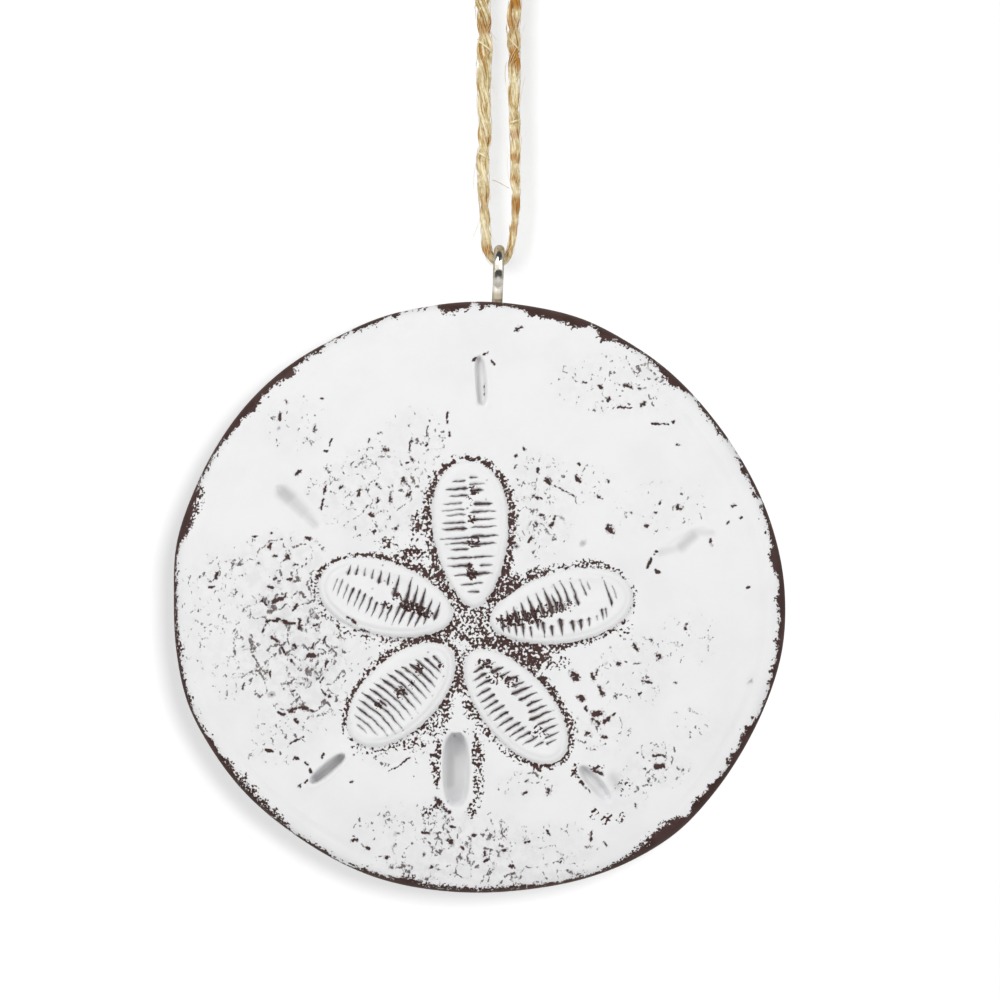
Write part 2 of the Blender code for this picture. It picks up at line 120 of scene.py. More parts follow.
# A petal's grooves: distance from its near end, start and end to its left, half width, how bare
GROOVES = {
    "top": (
        (16.6, 0.3, 1.9, 0.15, 0.4), (15.6, 0.1, 2.8, 0.17, 0.6), (14.7, 0.1, 2.4, 0.14, 0.5),
        (13.75, 0.9, 3.2, 0.14, 0.3), (12.9, 0.6, 3.3, 0.13, 0.25), (12.2, 0.6, 3.0, 0.14, 0.35),
        (11.2, 0.7, 3.5, 0.17, 0.45), (10.4, 0.5, 3.4, 0.2, 0.7), (9.2, 0.1, 3.4, 0.15, 0.3),
        (8.5, 0.1, 2.8, 0.16, 0.5), (7.7, 0.4, 2.6, 0.16, 0.5), (6.6, -0.1, 2.9, 0.15, 0.55),
        (5.6, 0.0, 2.7, 0.2, 0.7), (4.3, -0.2, 2.3, 0.15, 0.5), (3.1, -0.1, 1.6, 0.15, 0.4),
        (2.1, -0.7, 0.7, 0.15, 0.45), (17.0, -0.2, -1.2, 0.14, 0.4), (16.1, -0.2, -2.0, 0.14, 0.3),
        (15.3, -0.2, -1.8, 0.2, 0.8), (13.5, -0.6, -2.8, 0.22, 0.8), (12.5, -0.1, -3.1, 0.16, 0.5),
        (11.5, 0.0, -3.1, 0.15, 0.6), (10.5, -0.1, -3.2, 0.14, 0.4), (9.3, 0.0, -3.3, 0.18, 0.7),
        (8.3, 0.0, -2.9, 0.18, 0.7), (6.6, -0.1, -2.6, 0.14, 0.5), (5.5, -1.0, -2.5, 0.15, 0.5),
        (4.4, -0.2, -2.2, 0.2, 0.7), (3.2, -0.1, -1.2, 0.13, 0.4),
    ),
    "upper_left": (
        (14.7, -1.6, -2.9, 0.17, 0.6), (13.7, -1.9, -3.1, 0.17, 0.7), (12.7, -2.1, -3.2, 0.13, 0.4),
        (11.6, -2.0, -3.3, 0.15, 0.5), (10.6, -1.7, -3.4, 0.22, 0.8), (9.45, -1.8, -3.4, 0.17, 0.6),
        (8.2, -0.6, -3.4, 0.22, 0.75), (6.5, 0.2, -3.2, 0.26, 0.85), (5.5, 0.1, -2.7, 0.24, 0.8),
        (4.46, 0.5, -2.6, 0.26, 0.85), (3.3, 0.5, -1.5, 0.22, 0.8), (2.16, 0.9, -1.3, 0.22, 0.75),
        (15.9, -0.9, 0.8, 0.11, 0.1), (15.2, -0.9, 1.1, 0.14, 0.3), (14.3, -0.5, 1.5, 0.13, 0.3),
        (13.5, -0.3, 1.9, 0.17, 0.6), (12.6, -0.3, 2.0, 0.15, 0.5), (11.8, 0.0, 2.3, 0.16, 0.55),
        (10.8, 0.2, 2.4, 0.17, 0.6), (9.95, 0.6, 2.6, 0.16, 0.6), (8.9, 0.5, 2.7, 0.18, 0.65),
        (8.0, 0.6, 2.7, 0.17, 0.6), (7.0, 0.3, 2.7, 0.18, 0.65), (6.15, 0.3, 2.7, 0.19, 0.7),
        (5.0, 0.6, 2.6, 0.2, 0.7), (4.1, 0.5, 2.4, 0.2, 0.7), (3.2, 0.5, 1.9, 0.17, 0.6),
    ),
    "right": (
        (1.65, -0.9, 0.5, 0.2, 0.7), (2.5, -0.9, 0.95, 0.22, 0.8), (3.6, -0.8, 1.35, 0.24, 0.8),
        (4.65, -0.7, 1.65, 0.26, 0.85), (5.85, -0.6, 2.0, 0.3, 0.9), (7.05, -0.5, 2.4, 0.22, 0.75),
        (8.2, -0.5, 2.6, 0.3, 0.9), (8.9, -0.3, 1.8, 0.22, 0.8), (9.7, -0.4, 2.8, 0.24, 0.8),
        (10.7, 0.4, 3.1, 0.2, 0.6), (11.8, -0.2, 2.9, 0.22, 0.7), (13.15, 0.8, 2.7, 0.15, 0.45),
        (13.9, 1.5, 2.5, 0.12, 0.2), (16.0, -1.1, 2.3, 0.15, 0.65), (16.8, -0.4, 1.4, 0.1, 0.15),
        (1.44, -0.7, -1.4, 0.2, 0.7), (2.2, -0.9, -1.7, 0.16, 0.5), (3.1, -0.7, -2.3, 0.2, 0.65),
        (4.0, -0.8, -2.6, 0.22, 0.7), (5.0, -1.5, -2.9, 0.18, 0.6), (6.06, -0.7, -2.1, 0.24, 0.8),
        (6.7, -1.2, -3.1, 0.22, 0.75), (7.75, -2.0, -3.3, 0.22, 0.8), (9.0, -1.4, -3.4, 0.28, 0.9),
        (10.55, -1.9, -3.3, 0.26, 0.85), (11.6, -2.0, -3.3, 0.26, 0.85), (12.7, -2.0, -3.1, 0.2, 0.7),
        (13.8, -1.9, -2.6, 0.12, 0.2), (14.6, -1.3, -2.6, 0.18, 0.6), (15.1, -1.3, -2.4, 0.14, 0.5),
    ),
    "lower_left": (
        (2.1, -0.9, 0.5, 0.16, 0.6), (3.0, -1.4, 1.2, 0.17, 0.7), (3.9, -1.8, 1.6, 0.16, 0.5),
        (4.8, -2.1, 1.9, 0.22, 0.8), (5.7, -2.5, 2.1, 0.16, 0.55), (6.6, -2.8, 2.2, 0.17, 0.6),
        (7.6, -3.0, 2.3, 0.17, 0.55), (8.6, -3.1, 2.3, 0.18, 0.65), (9.6, -3.2, 2.3, 0.16, 0.55),
        (10.6, -3.2, 2.4, 0.16, 0.55), (11.6, -3.2, 2.5, 0.18, 0.6), (12.6, -3.0, 2.5, 0.16, 0.5),
        (13.6, -2.6, 2.2, 0.15, 0.45), (14.6, -2.0, 1.4, 0.13, 0.35), (15.4, -1.0, 0.4, 0.11, 0.2),
        (8.1, 0.6, -0.9, 0.2, 0.6), (11.1, -1.2, -0.2, 0.2, 0.6),
    ),
    "lower_right": (
        (2.5, 0.1, -1.3, 0.2, 0.75), (3.4, -0.1, -1.8, 0.2, 0.7), (4.4, -0.3, -2.2, 0.19, 0.6),
        (5.4, -0.9, -2.8, 0.18, 0.6), (6.4, -1.1, -3.0, 0.19, 0.65), (7.35, -1.2, -3.2, 0.18, 0.6),
        (8.3, -1.0, -3.2, 0.18, 0.55), (9.3, -1.2, -3.2, 0.2, 0.6), (10.3, -1.2, -3.2, 0.2, 0.6),
        (11.3, -0.9, -3.1, 0.19, 0.55), (12.2, -0.9, -2.9, 0.18, 0.55), (13.1, -0.6, -2.7, 0.18, 0.55),
        (14.1, -0.4, -2.2, 0.18, 0.5), (15.1, -0.3, -1.5, 0.16, 0.45), (2.3, 0.4, 1.3, 0.2, 0.85),
        (3.6, 0.5, 1.9, 0.26, 0.85), (4.6, 1.0, 2.3, 0.17, 0.5), (5.5, 1.1, 2.7, 0.22, 0.8),
        (6.6, 1.4, 2.8, 0.18, 0.6), (7.5, 0.7, 3.0, 0.24, 0.8), (8.6, 0.8, 3.0, 0.2, 0.75),
        (9.7, 1.2, 3.1, 0.18, 0.6), (10.7, 0.8, 3.0, 0.2, 0.65), (11.7, 0.2, 3.0, 0.22, 0.75),
        (12.8, 0.6, 2.8, 0.17, 0.55), (13.8, 0.6, 2.4, 0.17, 0.55), (14.8, 0.2, 2.0, 0.16, 0.5),
        (15.6, -0.2, 1.2, 0.14, 0.4),
    ),
}
# The brown round each petal, every 45 degrees from its near end by way of its left: density, width
PETAL_STIPPLE = {
    "top": (
        (0.56, 1.0), (0.72, 1.6), (0.7, 1.5), (0.7, 1.2), (0.6, 0.9), (0.72, 1.1), (0.72, 1.2), (0.72, 1.3),
    ),
    "upper_left": (
        (0.58, 1.2), (0.72, 1.2), (0.3, 1.6), (0.3, 1.3), (0.72, 0.9), (0.8, 0.5), (0.66, 1.1), (0.7, 1.6),
    ),
    "right": (
        (0.56, 1.2), (0.72, 1.8), (0.5, 1.0), (0.5, 0.7), (0.2, 0.8), (0.5, 0.7), (0.7, 0.9), (0.76, 1.6),
    ),
    "lower_left": (
        (0.6, 1.2), (0.62, 1.2), (0.5, 1.1), (0.34, 1.4), (0.34, 0.9), (0.6, 0.8), (0.6, 1.0), (0.72, 1.2),
    ),
    "lower_right": (
        (0.6, 1.2), (0.72, 1.9), (0.74, 1.3), (0.7, 1.1), (0.68, 0.8), (0.6, 0.9), (0.38, 1.3), (0.62, 1.1),
    ),
}
# Blots where the stipple is thick: place, half sizes, density
STIPPLE_BLOTS = (
    (-1.5, -3.6, 3.2, 2.4, 0.6), (4.2, 1.5, 1.8, 1.8, 0.74), (7.4, 3.0, 1.6, 0.9, 0.66),
    (6.2, -8.0, 3.0, 1.9, 0.66), (9.6, -8.4, 1.9, 1.0, 0.5), (-12.4, 7.3, 1.6, 0.7, 0.5),
    (-14.0, 8.6, 0.7, 0.4, 0.6), (-9.2, 5.6, 2.0, 1.2, 0.6), (-8.4, 9.4, 1.1, 1.9, 0.5),
    (-2.9, -10.4, 0.9, 2.6, 0.7), (-4.5, -14.2, 0.7, 2.0, 0.6), (-1.4, -14.2, 0.7, 1.6, 0.6),
    (-6.6, -16.8, 2.0, 1.4, 0.46), (-9.0, -18.8, 1.9, 1.0, 0.44), (-8.0, -5.6, 3.4, 0.6, 0.74),
    (-5.6, -21.4, 0.8, 3.2, 0.6), (-0.5, -22.2, 0.75, 4.8, 0.68), (-3.2, -17.6, 1.8, 0.5, 0.66),
    (-5.2, -27.2, 1.6, 0.6, 0.44), (-1.2, -27.8, 0.8, 1.0, 0.62), (-6.8, -28.4, 0.9, 1.5, 0.44),
    (-15.2, -3.9, 3.0, 0.8, 0.34), (14.6, 4.6, 1.4, 0.4, 0.72), (18.9, -4.3, 0.9, 0.6, 0.5),
    (12.6, -22.7, 0.7, 1.0, 0.6), (15.0, -22.2, 1.2, 0.4, 0.5), (18.6, -24.9, 1.2, 1.2, 0.16),
    (14.9, -28.1, 0.4, 0.8, 0.62), (16.5, -28.9, 0.5, 0.6, 0.76), (18.4, -28.8, 0.4, 0.9, 0.62),
)
# Blots where grooves run together: place, half sizes, density
GROOVE_BLOTS = (
    (-1.1, 3.1, 0.75, 0.9, 0.8), (-1.5, 3.9, 0.5, 0.6, 0.66), (-1.0, 14.0, 0.7, 0.6, 0.62),
    (-1.2, 10.3, 0.5, 0.7, 0.56), (-0.9, 7.3, 0.9, 0.8, 0.6), (-1.6, 12.4, 0.5, 1.0, 0.4),
    (-11.6, 1.4, 0.4, 0.8, 0.5), (-10.9, 0.1, 0.6, 0.7, 0.66), (-9.9, -0.7, 0.9, 0.6, 0.74),
    (-9.0, -1.2, 1.0, 0.65, 0.82), (-7.9, -1.6, 1.0, 0.65, 0.8), (-6.9, -2.1, 0.7, 0.5, 0.66),
    (-12.3, -0.9, 1.0, 0.5, 0.36), (3.2, -3.0, 1.2, 0.8, 0.68), (5.0, -2.7, 1.4, 0.9, 0.64),
    (6.8, -2.4, 1.4, 1.0, 0.66), (8.4, -1.7, 1.2, 1.0, 0.6), (9.9, -1.3, 1.2, 0.8, 0.56),
    (11.4, -1.1, 1.0, 0.7, 0.42), (0.6, -8.6, 1.2, 0.7, 0.62), (1.9, -10.4, 1.2, 0.9, 0.5),
    (4.0, -11.0, 1.0, 0.8, 0.46), (-8.0, -9.3, 0.6, 0.9, 0.5), (-5.3, -8.8, 0.4, 0.5, 0.66),
    (-10.6, -12.4, 0.7, 0.8, 0.5), (-9.0, -11.3, 0.5, 0.6, 0.4), (7.6, -17.6, 1.2, 1.0, 0.36),
    (-13.4, -13.9, 0.5, 0.7, 0.5),
)

# The blind slots: the mouth's centre, length and width, the floor's centre, length and width,
# the angle of both in degrees, and the depth
SLOTS = {
    "lower_middle": ((-3.2, -22.6), 10.0, 3.7, (-3.3, -22.1), 8.8, 2.6, 90.0, 2.4),
    "lower_right": ((14.95, -24.3), 6.0, 1.9, (14.75, -24.1), 4.8, 0.8, -49.0, 1.1),
    "lower_left": ((-20.05, -22.4), 6.0, 1.8, (-20.05, -22.35), 5.0, 0.9, 40.0, 1.7),
    "upper_left": ((-23.8, 12.1), 8.0, 2.6, (-24.1, 11.9), 6.0, 0.5, -46.0, 0.35),
    "right": ((26.7, 7.4), 7.6, 2.6, (26.9, 7.6), 4.4, 0.8, 28.0, 0.16),
    "top": ((0.1, 28.4), 6.8, 1.7, (-0.1, 28.3), 5.8, 0.7, 94.0, 0.8),
}
LIP_HEIGHT = 0.09
SLOT_SQUARENESS = 2.5
# Painted shade in and beside the slots: grey laid where their walls and floors fall into shadow. Place,
# length, width, angle in degrees, amount
PAINTED_SLOT_SHADE = (
    (-3.35, -22.0, 8.0, 1.8, 90, 0.14), (-4.0, -21.6, 6.8, 1.3, 90, 0.38),
    (-3.5, -19.5, 3.0, 1.9, 90, 0.34), (-20.05, -22.35, 4.9, 0.9, 40, 0.6),
    (14.7, -23.8, 3.6, 1.3, -49, 0.2), (14.0, -23.0, 1.8, 1.1, -49, 0.3),
    (17.6, -24.0, 2.4, 1.2, -60, 0.34), (-25.5, 13.4, 2.6, 1.5, -40, 0.5),
    (-24.4, 12.3, 4.4, 1.2, -44, 0.34), (-23.0, 10.9, 4.6, 0.9, -47, 0.26), (27.0, 7.4, 3.4, 1.2, 42, 0.42),
    (24.7, 6.2, 3.6, 0.9, 14, 0.2), (29.2, 8.5, 2.8, 0.8, 0, 0.22), (-0.3, 28.4, 6.2, 0.6, 92, 0.42),
    (-0.3, 27.3, 3.6, 0.45, 92, 0.5), (0.3, 28.9, 4.6, 0.6, 94, 0.12),
)

# How the rim is worn: angle in degrees, width of the bare edge, how solid it is
WORN_EDGE = (
    (0, 1.0, 1.0), (3, 0.8, 0.8), (5, 1.0, 1.0), (8, 1.6, 1.0), (10, 0.9, 0.9), (15, 0.6, 0.8),
    (18, 0.5, 0.8), (19, 0.0, 0.0), (20, 0.5, 0.9), (28, 0.5, 0.8), (29, 0.0, 0.2), (32, 0.0, 0.2),
    (33, 0.5, 0.9), (41, 0.5, 0.8), (43, 0.1, 0.4), (45, 0.5, 0.9), (48, 1.2, 0.9), (50, 1.6, 0.6),
    (53, 0.6, 0.5), (57, 0.4, 0.6), (60, 0.9, 0.7), (63, 1.0, 0.8), (65, 2.0, 1.0), (66.5, 0.8, 0.7),
    (68, 0.5, 0.6), (70, 1.7, 0.8), (75, 1.3, 1.0), (80, 1.2, 0.9), (83, 0.6, 0.8), (88, 0.5, 0.8),
    (90, 0.8, 1.0), (91.3, 0.0, 0.0), (92.5, 1.0, 1.0), (97.5, 1.2, 1.0), (98.5, 0.1, 0.2),
    (105.5, 0.1, 0.2), (106.7, 0.9, 1.0), (108, 0.2, 0.5), (110, 0.5, 1.0), (115, 0.5, 1.0),
    (116, 0.1, 0.5), (119, 0.3, 0.8), (121, 0.0, 0.0), (123, 0.6, 1.0), (126, 0.5, 0.7), (127, 0.7, 1.0),
    (129, 0.7, 1.0), (131, 1.6, 1.0), (133, 0.8, 1.0), (138, 1.0, 0.9), (141, 1.6, 0.9), (143, 0.9, 0.9),
    (147, 0.9, 0.9), (150, 0.5, 0.7), (155, 0.6, 0.4), (157, 0.0, 0.2), (159, 1.7, 0.5), (163, 1.9, 0.6),
    (166, 1.6, 0.8), (168, 1.1, 0.9), (170, 0.6, 0.7), (175, 0.3, 0.8), (180, 0.4, 0.8), (185, 0.7, 0.6),
    (190, 1.1, 0.5), (192, 0.5, 0.8), (200, 0.5, 1.0), (205, 0.4, 0.9), (208, 0.9, 1.0), (211, 0.8, 0.7),
    (214, 1.9, 0.5), (219, 2.0, 0.5), (222, 1.6, 0.5), (229, 1.2, 0.5), (231, 0.1, 0.5), (233, 0.4, 0.9),
    (238, 0.5, 1.0), (240, 0.3, 0.9), (244, 0.2, 0.7), (247, 0.9, 0.6), (250, 0.6, 0.8), (253, 0.8, 0.8),
    (256, 1.9, 0.6), (259, 1.0, 0.6), (265, 1.1, 0.6), (270, 1.0, 0.55), (275, 1.0, 0.6), (280, 0.9, 0.6),
    (285, 0.6, 0.7), (290, 0.4, 0.9), (295, 0.7, 0.7), (300, 1.2, 0.7), (305, 2.2, 0.7), (308, 2.4, 0.8),
    (311, 2.2, 0.9), (313.5, 0.6, 0.9), (316, 1.6, 0.9), (320, 1.1, 1.0), (325, 0.7, 0.9), (327, 1.2, 0.9),
    (330, 0.7, 0.9), (332, 1.3, 0.9), (335, 0.6, 1.0), (340, 0.3, 0.9), (345, 0.6, 1.0), (350, 0.8, 0.9),
    (353, 1.0, 0.9), (356, 0.8, 1.0), (358, 1.1, 1.0),
)

# Single marks where the paint is missing: place, length, width, angle in degrees
MARKS = (
    (-18.9, 32.1, 0.9, 0.35, 60), (-25.4, 25.6, 0.8, 0.35, -40), (-20.8, 26.0, 0.4, 0.3, 0),
    (-26.3, 23.6, 1.2, 0.45, 80), (-23.5, 23.5, 0.4, 0.3, 0), (-21.8, 22.2, 1.3, 0.3, 90),
    (-19.6, 20.3, 1.2, 0.25, 70), (-20.3, 19.1, 0.7, 0.3, -10), (-24.0, 16.3, 1.1, 0.5, 40),
    (-20.4, 14.2, 1.6, 0.3, 85), (-20.7, 12.2, 1.6, 0.3, 75), (-22.6, 7.8, 1.0, 0.45, 0),
    (-21.4, 7.5, 0.6, 0.3, -40), (-14.6, 20.6, 0.6, 0.3, 80), (-13.2, 21.5, 0.7, 0.3, 20),
    (-12.5, 19.4, 0.9, 0.5, -20), (-9.2, 19.9, 1.4, 0.3, 80), (-9.1, 18.2, 0.9, 0.3, 100),
    (-9.6, 17.7, 0.7, 0.3, 0), (-6.9, 21.8, 1.6, 0.25, 85), (-7.1, 20.0, 0.7, 0.25, 60),
    (-4.4, 23.6, 1.6, 0.3, 80), (-4.1, 21.4, 0.8, 0.35, 85), (-18.3, 14.5, 0.7, 0.4, 20),
    (-15.9, 13.8, 1.1, 0.5, 80), (-13.4, 14.6, 0.9, 0.5, -30), (-13.5, 12.8, 0.8, 0.4, 80),
    (-10.2, 15.4, 0.9, 0.7, 80), (-9.5, 13.5, 0.8, 0.5, 40), (-11.8, 12.8, 0.7, 0.4, 60),
    (-16.3, 11.4, 0.5, 0.4, 0), (-14.3, 10.8, 0.9, 0.4, -20), (-11.0, 9.0, 0.8, 0.6, 20),
    (-27.4, 8.4, 0.4, 0.3, 0), (-27.5, 6.8, 0.8, 0.5, 50), (-29.4, 8.0, 0.6, 0.35, 0),
    (-26.8, 5.5, 0.6, 0.4, 0), (-25.2, 5.3, 0.6, 0.5, 30), (-24.2, 4.4, 0.8, 0.5, 0),
    (-29.2, 4.5, 0.4, 0.4, 0), (-34.6, 2.8, 0.9, 0.38, 80), (-35.2, 1.5, 0.9, 0.3, 10),
    (-27.0, 2.5, 0.7, 0.3, 40), (-25.0, 2.4, 0.7, 0.3, 0), (-27.5, 1.4, 0.9, 0.3, 0),
    (-28.2, -0.6, 1.1, 0.38, -40), (-26.6, -0.3, 1.4, 0.45, 10), (-25.6, 0.4, 0.9, 0.38, 70),
    (-27.2, -3.0, 1.8, 0.45, 8), (-25.2, -3.2, 1.8, 0.38, -8), (-28.4, -4.1, 1.2, 0.3, 70),
    (-24.3, -1.2, 1.0, 0.3, 60), (-23.8, -3.4, 1.5, 0.52, 80), (-26.9, -5.4, 1.3, 0.34, -30),
    (-25.8, -6.8, 1.4, 0.26, -60), (-24.6, -8.4, 1.2, 0.34, -50), (-24.3, -6.3, 0.9, 0.38, -40),
    (-22.3, -7.6, 1.5, 0.6, 10), (-22.0, -6.2, 1.1, 0.3, 70), (-20.5, -5.6, 1.2, 0.3, 80),
    (-20.2, -8.7, 1.2, 0.3, 60), (-20.9, -10.8, 0.9, 0.3, 60), (-20.6, -12.2, 1.4, 0.26, -60),
    (-19.8, -12.9, 0.7, 0.26, 0), (-27.5, -9.9, 1.2, 0.22, 85), (-31.0, -11.5, 1.2, 0.26, 75),
    (-24.6, -14.6, 1.2, 0.5, 30), (-23.2, -14.4, 1.6, 0.5, -4), (-22.2, -14.8, 0.9, 0.35, -20),
    (-26.1, -15.1, 1.3, 0.45, -15), (-24.2, -16.2, 0.9, 0.35, -50), (-21.6, -3.5, 0.7, 0.3, 30),
    (-24.6, -12.1, 0.8, 0.26, 40), (-16.8, -3.0, 1.8, 0.35, -35), (-15.2, -4.2, 1.2, 0.4, -20),
    (-24.0, -21.0, 0.9, 0.35, -10), (-22.9, -21.6, 0.8, 0.35, -40), (-22.3, -22.6, 0.7, 0.35, -70),
    (-22.9, -24.0, 0.7, 0.35, 60), (-23.8, -24.6, 0.7, 0.35, 20), (-20.6, -20.5, 0.9, 0.3, 70),
    (13.66, -24.66, 2.1, 0.3, -50), (15.28, -22.73, 1.9, 0.5, -28), (0.45, 27.3, 1.6, 0.16, 88),
    (-24.0, -18.6, 2.2, 0.3, 25), (-27.6, -20.0, 1.1, 0.35, -5), (-10.6, -21.8, 3.4, 0.2, 32),
    (-17.0, -24.2, 0.4, 0.3, 0), (-8.8, -23.4, 0.4, 0.3, -60), (-16.5, -31.8, 0.9, 0.45, 0),
    (-16.7, -33.7, 1.2, 0.5, 85), (-14.8, -32.8, 0.8, 0.35, 0), (-14.4, -34.1, 0.8, 0.4, 50),
    (-12.4, -34.0, 0.6, 0.35, 40), (-6.6, -35.5, 1.3, 0.5, 60), (-7.4, -33.6, 0.8, 0.45, 80),
    (-4.0, -32.0, 0.9, 0.7, 0), (-2.5, -32.8, 0.9, 0.6, -50), (-1.0, -31.0, 0.7, 0.5, 80),
    (0.6, -33.4, 0.7, 0.35, 80), (-3.7, -30.0, 0.8, 0.35, -40), (-7.2, -30.8, 1.2, 0.3, 0),
    (-5.6, -26.6, 1.3, 0.5, -45), (-4.5, -27.8, 1.2, 0.45, -40), (5.2, 35.3, 1.8, 0.5, 36),
    (12.4, 34.8, 0.7, 0.5, 60), (-0.9, 31.2, 0.9, 0.35, 45), (1.6, 30.8, 1.1, 0.35, -60),
    (0.6, 31.9, 0.8, 0.25, 20), (22.3, 29.9, 1.6, 0.5, -5), (20.6, 30.2, 0.9, 0.35, 0),
    (22.5, 28.5, 0.6, 0.4, 0), (23.5, 28.6, 0.8, 0.45, 70), (13.6, 28.2, 0.6, 0.3, -20),
    (15.7, 27.6, 0.8, 0.45, -50), (19.2, 27.7, 1.6, 0.4, -20), (20.8, 27.3, 0.7, 0.4, 10),
    (16.8, 26.0, 0.6, 0.35, 60), (18.8, 24.9, 2.0, 0.35, -5), (21.3, 25.4, 0.9, 0.6, 50),
    (23.4, 22.7, 2.4, 0.25, 0), (25.2, 23.0, 0.5, 0.4, 0), (25.8, 20.1, 0.6, 0.3, 0),
    (32.6, 17.5, 0.7, 0.5, 10), (4.6, 18.5, 0.6, 0.4, 40), (5.7, 19.4, 0.7, 0.3, -40),
    (5.8, 17.1, 0.6, 0.35, -30), (4.6, 17.2, 0.6, 0.25, 70), (7.5, 16.6, 0.8, 0.35, -75),
    (8.8, 15.1, 1.1, 0.5, -60), (10.9, 13.9, 3.0, 0.22, -30), (12.6, 15.6, 1.1, 0.45, -55),
    (12.8, 17.4, 0.5, 0.3, -60), (7.3, 13.1, 1.6, 0.35, -25), (15.5, 13.2, 1.0, 0.3, -30),
    (16.6, 15.3, 0.5, 0.3, -40), (8.0, 10.8, 0.8, 0.45, 0), (9.6, 10.5, 0.8, 0.35, 80),
    (9.2, 9.7, 0.7, 0.4, 20), (7.3, 9.5, 0.4, 0.35, 0), (6.4, 7.6, 0.8, 0.25, 50),
    (17.0, 8.9, 1.6, 0.8, -55), (19.4, 11.2, 0.9, 0.35, -10), (21.7, 9.4, 0.5, 0.4, 0),
    (22.7, 11.0, 0.6, 0.35, -20), (23.4, 12.3, 0.7, 0.4, 70), (25.9, 11.8, 1.0, 0.7, -40),
    (26.5, 9.8, 0.5, 0.3, 30), (33.0, 12.1, 0.8, 0.4, 20), (32.3, 9.9, 0.6, 0.3, 80),
    (34.0, 10.4, 0.5, 0.3, 20), (22.0, 4.6, 1.6, 0.4, 70), (22.8, 5.9, 0.9, 0.3, 60),
    (23.1, 3.5, 0.9, 0.3, -30), (30.2, 7.3, 0.9, 0.4, -70), (35.1, 1.4, 0.6, 0.4, 60),
    (26.7, -3.7, 1.2, 0.3, 80), (25.7, -6.0, 0.6, 0.35, 80), (22.2, -5.5, 0.6, 0.35, -50),
    (20.2, -6.5, 1.4, 0.45, -65), (23.2, -7.8, 0.8, 0.5, -75), (18.0, -8.5, 0.7, 0.4, -20),
    (20.4, -8.6, 1.2, 0.25, 0), (21.7, -10.9, 1.4, 0.35, -20), (25.5, -11.1, 0.6, 0.25, 0),
    (20.7, -12.4, 0.7, 0.35, 0), (17.6, -12.9, 0.8, 0.3, -20), (12.2, -10.1, 1.6, 0.8, -65),
    (14.6, -10.3, 1.4, 0.5, -50), (15.2, -9.9, 0.9, 0.4, 70), (15.7, -12.2, 1.5, 0.6, -70),
    (13.0, -13.2, 1.0, 0.75, -50), (13.8, -14.4, 0.8, 0.4, -60), (15.2, -15.2, 1.8, 0.7, 0),
    (14.9, -16.2, 1.3, 0.6, -30), (16.4, -15.9, 1.2, 0.5, 50), (17.2, -15.2, 0.8, 0.4, 20),
    (13.9, -17.8, 0.9, 0.5, 20), (16.1, -18.2, 0.9, 0.4, -20), (23.3, -20.7, 1.6, 0.35, 8),
    (23.4, -22.0, 1.6, 0.6, 10), (21.6, -22.6, 1.3, 0.35, -50), (22.1, -24.1, 1.1, 0.3, -70),
    (8.8, -25.4, 1.1, 0.5, 85), (5.8, -25.6, 0.7, 0.45, 20), (6.0, -24.0, 0.6, 0.4, 0),
    (8.8, -30.7, 0.9, 0.4, -50), (14.5, -31.2, 1.5, 0.35, 85), (16.2, -32.2, 0.9, 0.25, -60),
    (20.2, -27.2, 0.6, 0.35, -60), (6.2, -32.0, 0.8, 0.35, 30), (3.0, -33.0, 0.8, 0.6, 0),
    (0.7, -34.3, 0.6, 0.4, 0), (3.9, -35.1, 0.6, 0.4, 0), (10.3, -34.8, 0.8, 0.4, 70),
)
# Clusters of small flecks: place, half sizes, density
FLECKS = (
    (-26.0, 4.0, 6.0, 4.5, 0.24), (-32.0, 2.5, 6.0, 4.0, 0.15), (-25.5, -2.0, 5.0, 4.5, 0.34),
    (-22.5, -7.0, 5.0, 5.0, 0.32), (-27.5, -7.0, 5.0, 5.0, 0.26), (-22.5, -12.0, 5.0, 4.5, 0.22),
    (-31.0, -8.0, 5.0, 6.0, 0.13), (-36.0, -3.0, 4.0, 8.0, 0.09), (-25.0, -16.5, 5.0, 3.0, 0.12),
    (-27.0, -20.0, 4.0, 2.0, 0.12), (-14.0, 14.0, 7.0, 6.0, 0.18), (-8.5, 21.0, 4.0, 4.0, 0.1),
    (-21.0, 13.0, 2.5, 4.0, 0.1), (-24.0, 22.5, 4.0, 4.0, 0.08), (7.5, 12.0, 4.5, 6.5, 0.15),
    (12.0, 15.0, 6.0, 3.0, 0.07), (17.5, 28.0, 8.0, 4.0, 0.12), (23.0, 29.5, 3.0, 1.6, 0.22),
    (24.0, 11.5, 7.0, 4.0, 0.06), (20.0, -9.5, 5.0, 5.0, 0.09), (27.0, -5.5, 4.0, 4.0, 0.07),
    (23.0, -22.0, 4.0, 3.0, 0.18), (28.0, -17.0, 4.0, 3.0, 0.07), (-10.0, -31.0, 7.0, 4.0, 0.12),
    (-3.0, -32.0, 5.0, 4.0, 0.24), (3.0, -33.0, 5.0, 3.5, 0.22), (10.0, -32.5, 5.0, 3.0, 0.13),
    (6.0, -24.5, 4.0, 2.0, 0.1), (-12.0, -20.5, 5.0, 1.6, 0.12), (16.0, -17.5, 4.0, 3.0, 0.12),
    (6.0, -36.5, 9.0, 1.3, 0.26), (-9.0, -36.0, 6.0, 1.3, 0.28), (-17.0, -6.0, 3.0, 4.0, 0.1),
    (19.5, -25.5, 2.5, 3.0, 0.08), (0.5, -29.5, 4.0, 1.6, 0.14), (8.0, 8.0, 4.0, 2.0, 0.08),
)
BACK_FLECKS = 0.06
SIDE_WEAR = -0.35

# The front's relief: how it rolls off at the rim, and its slow waves: depth, size, seed
ROLL_DEPTH = 0.5
ROLL_WIDTH = 2.2
SURFACE_WAVES = ((0.07, 9.0, 3.1), (0.035, 3.2, 7.7))
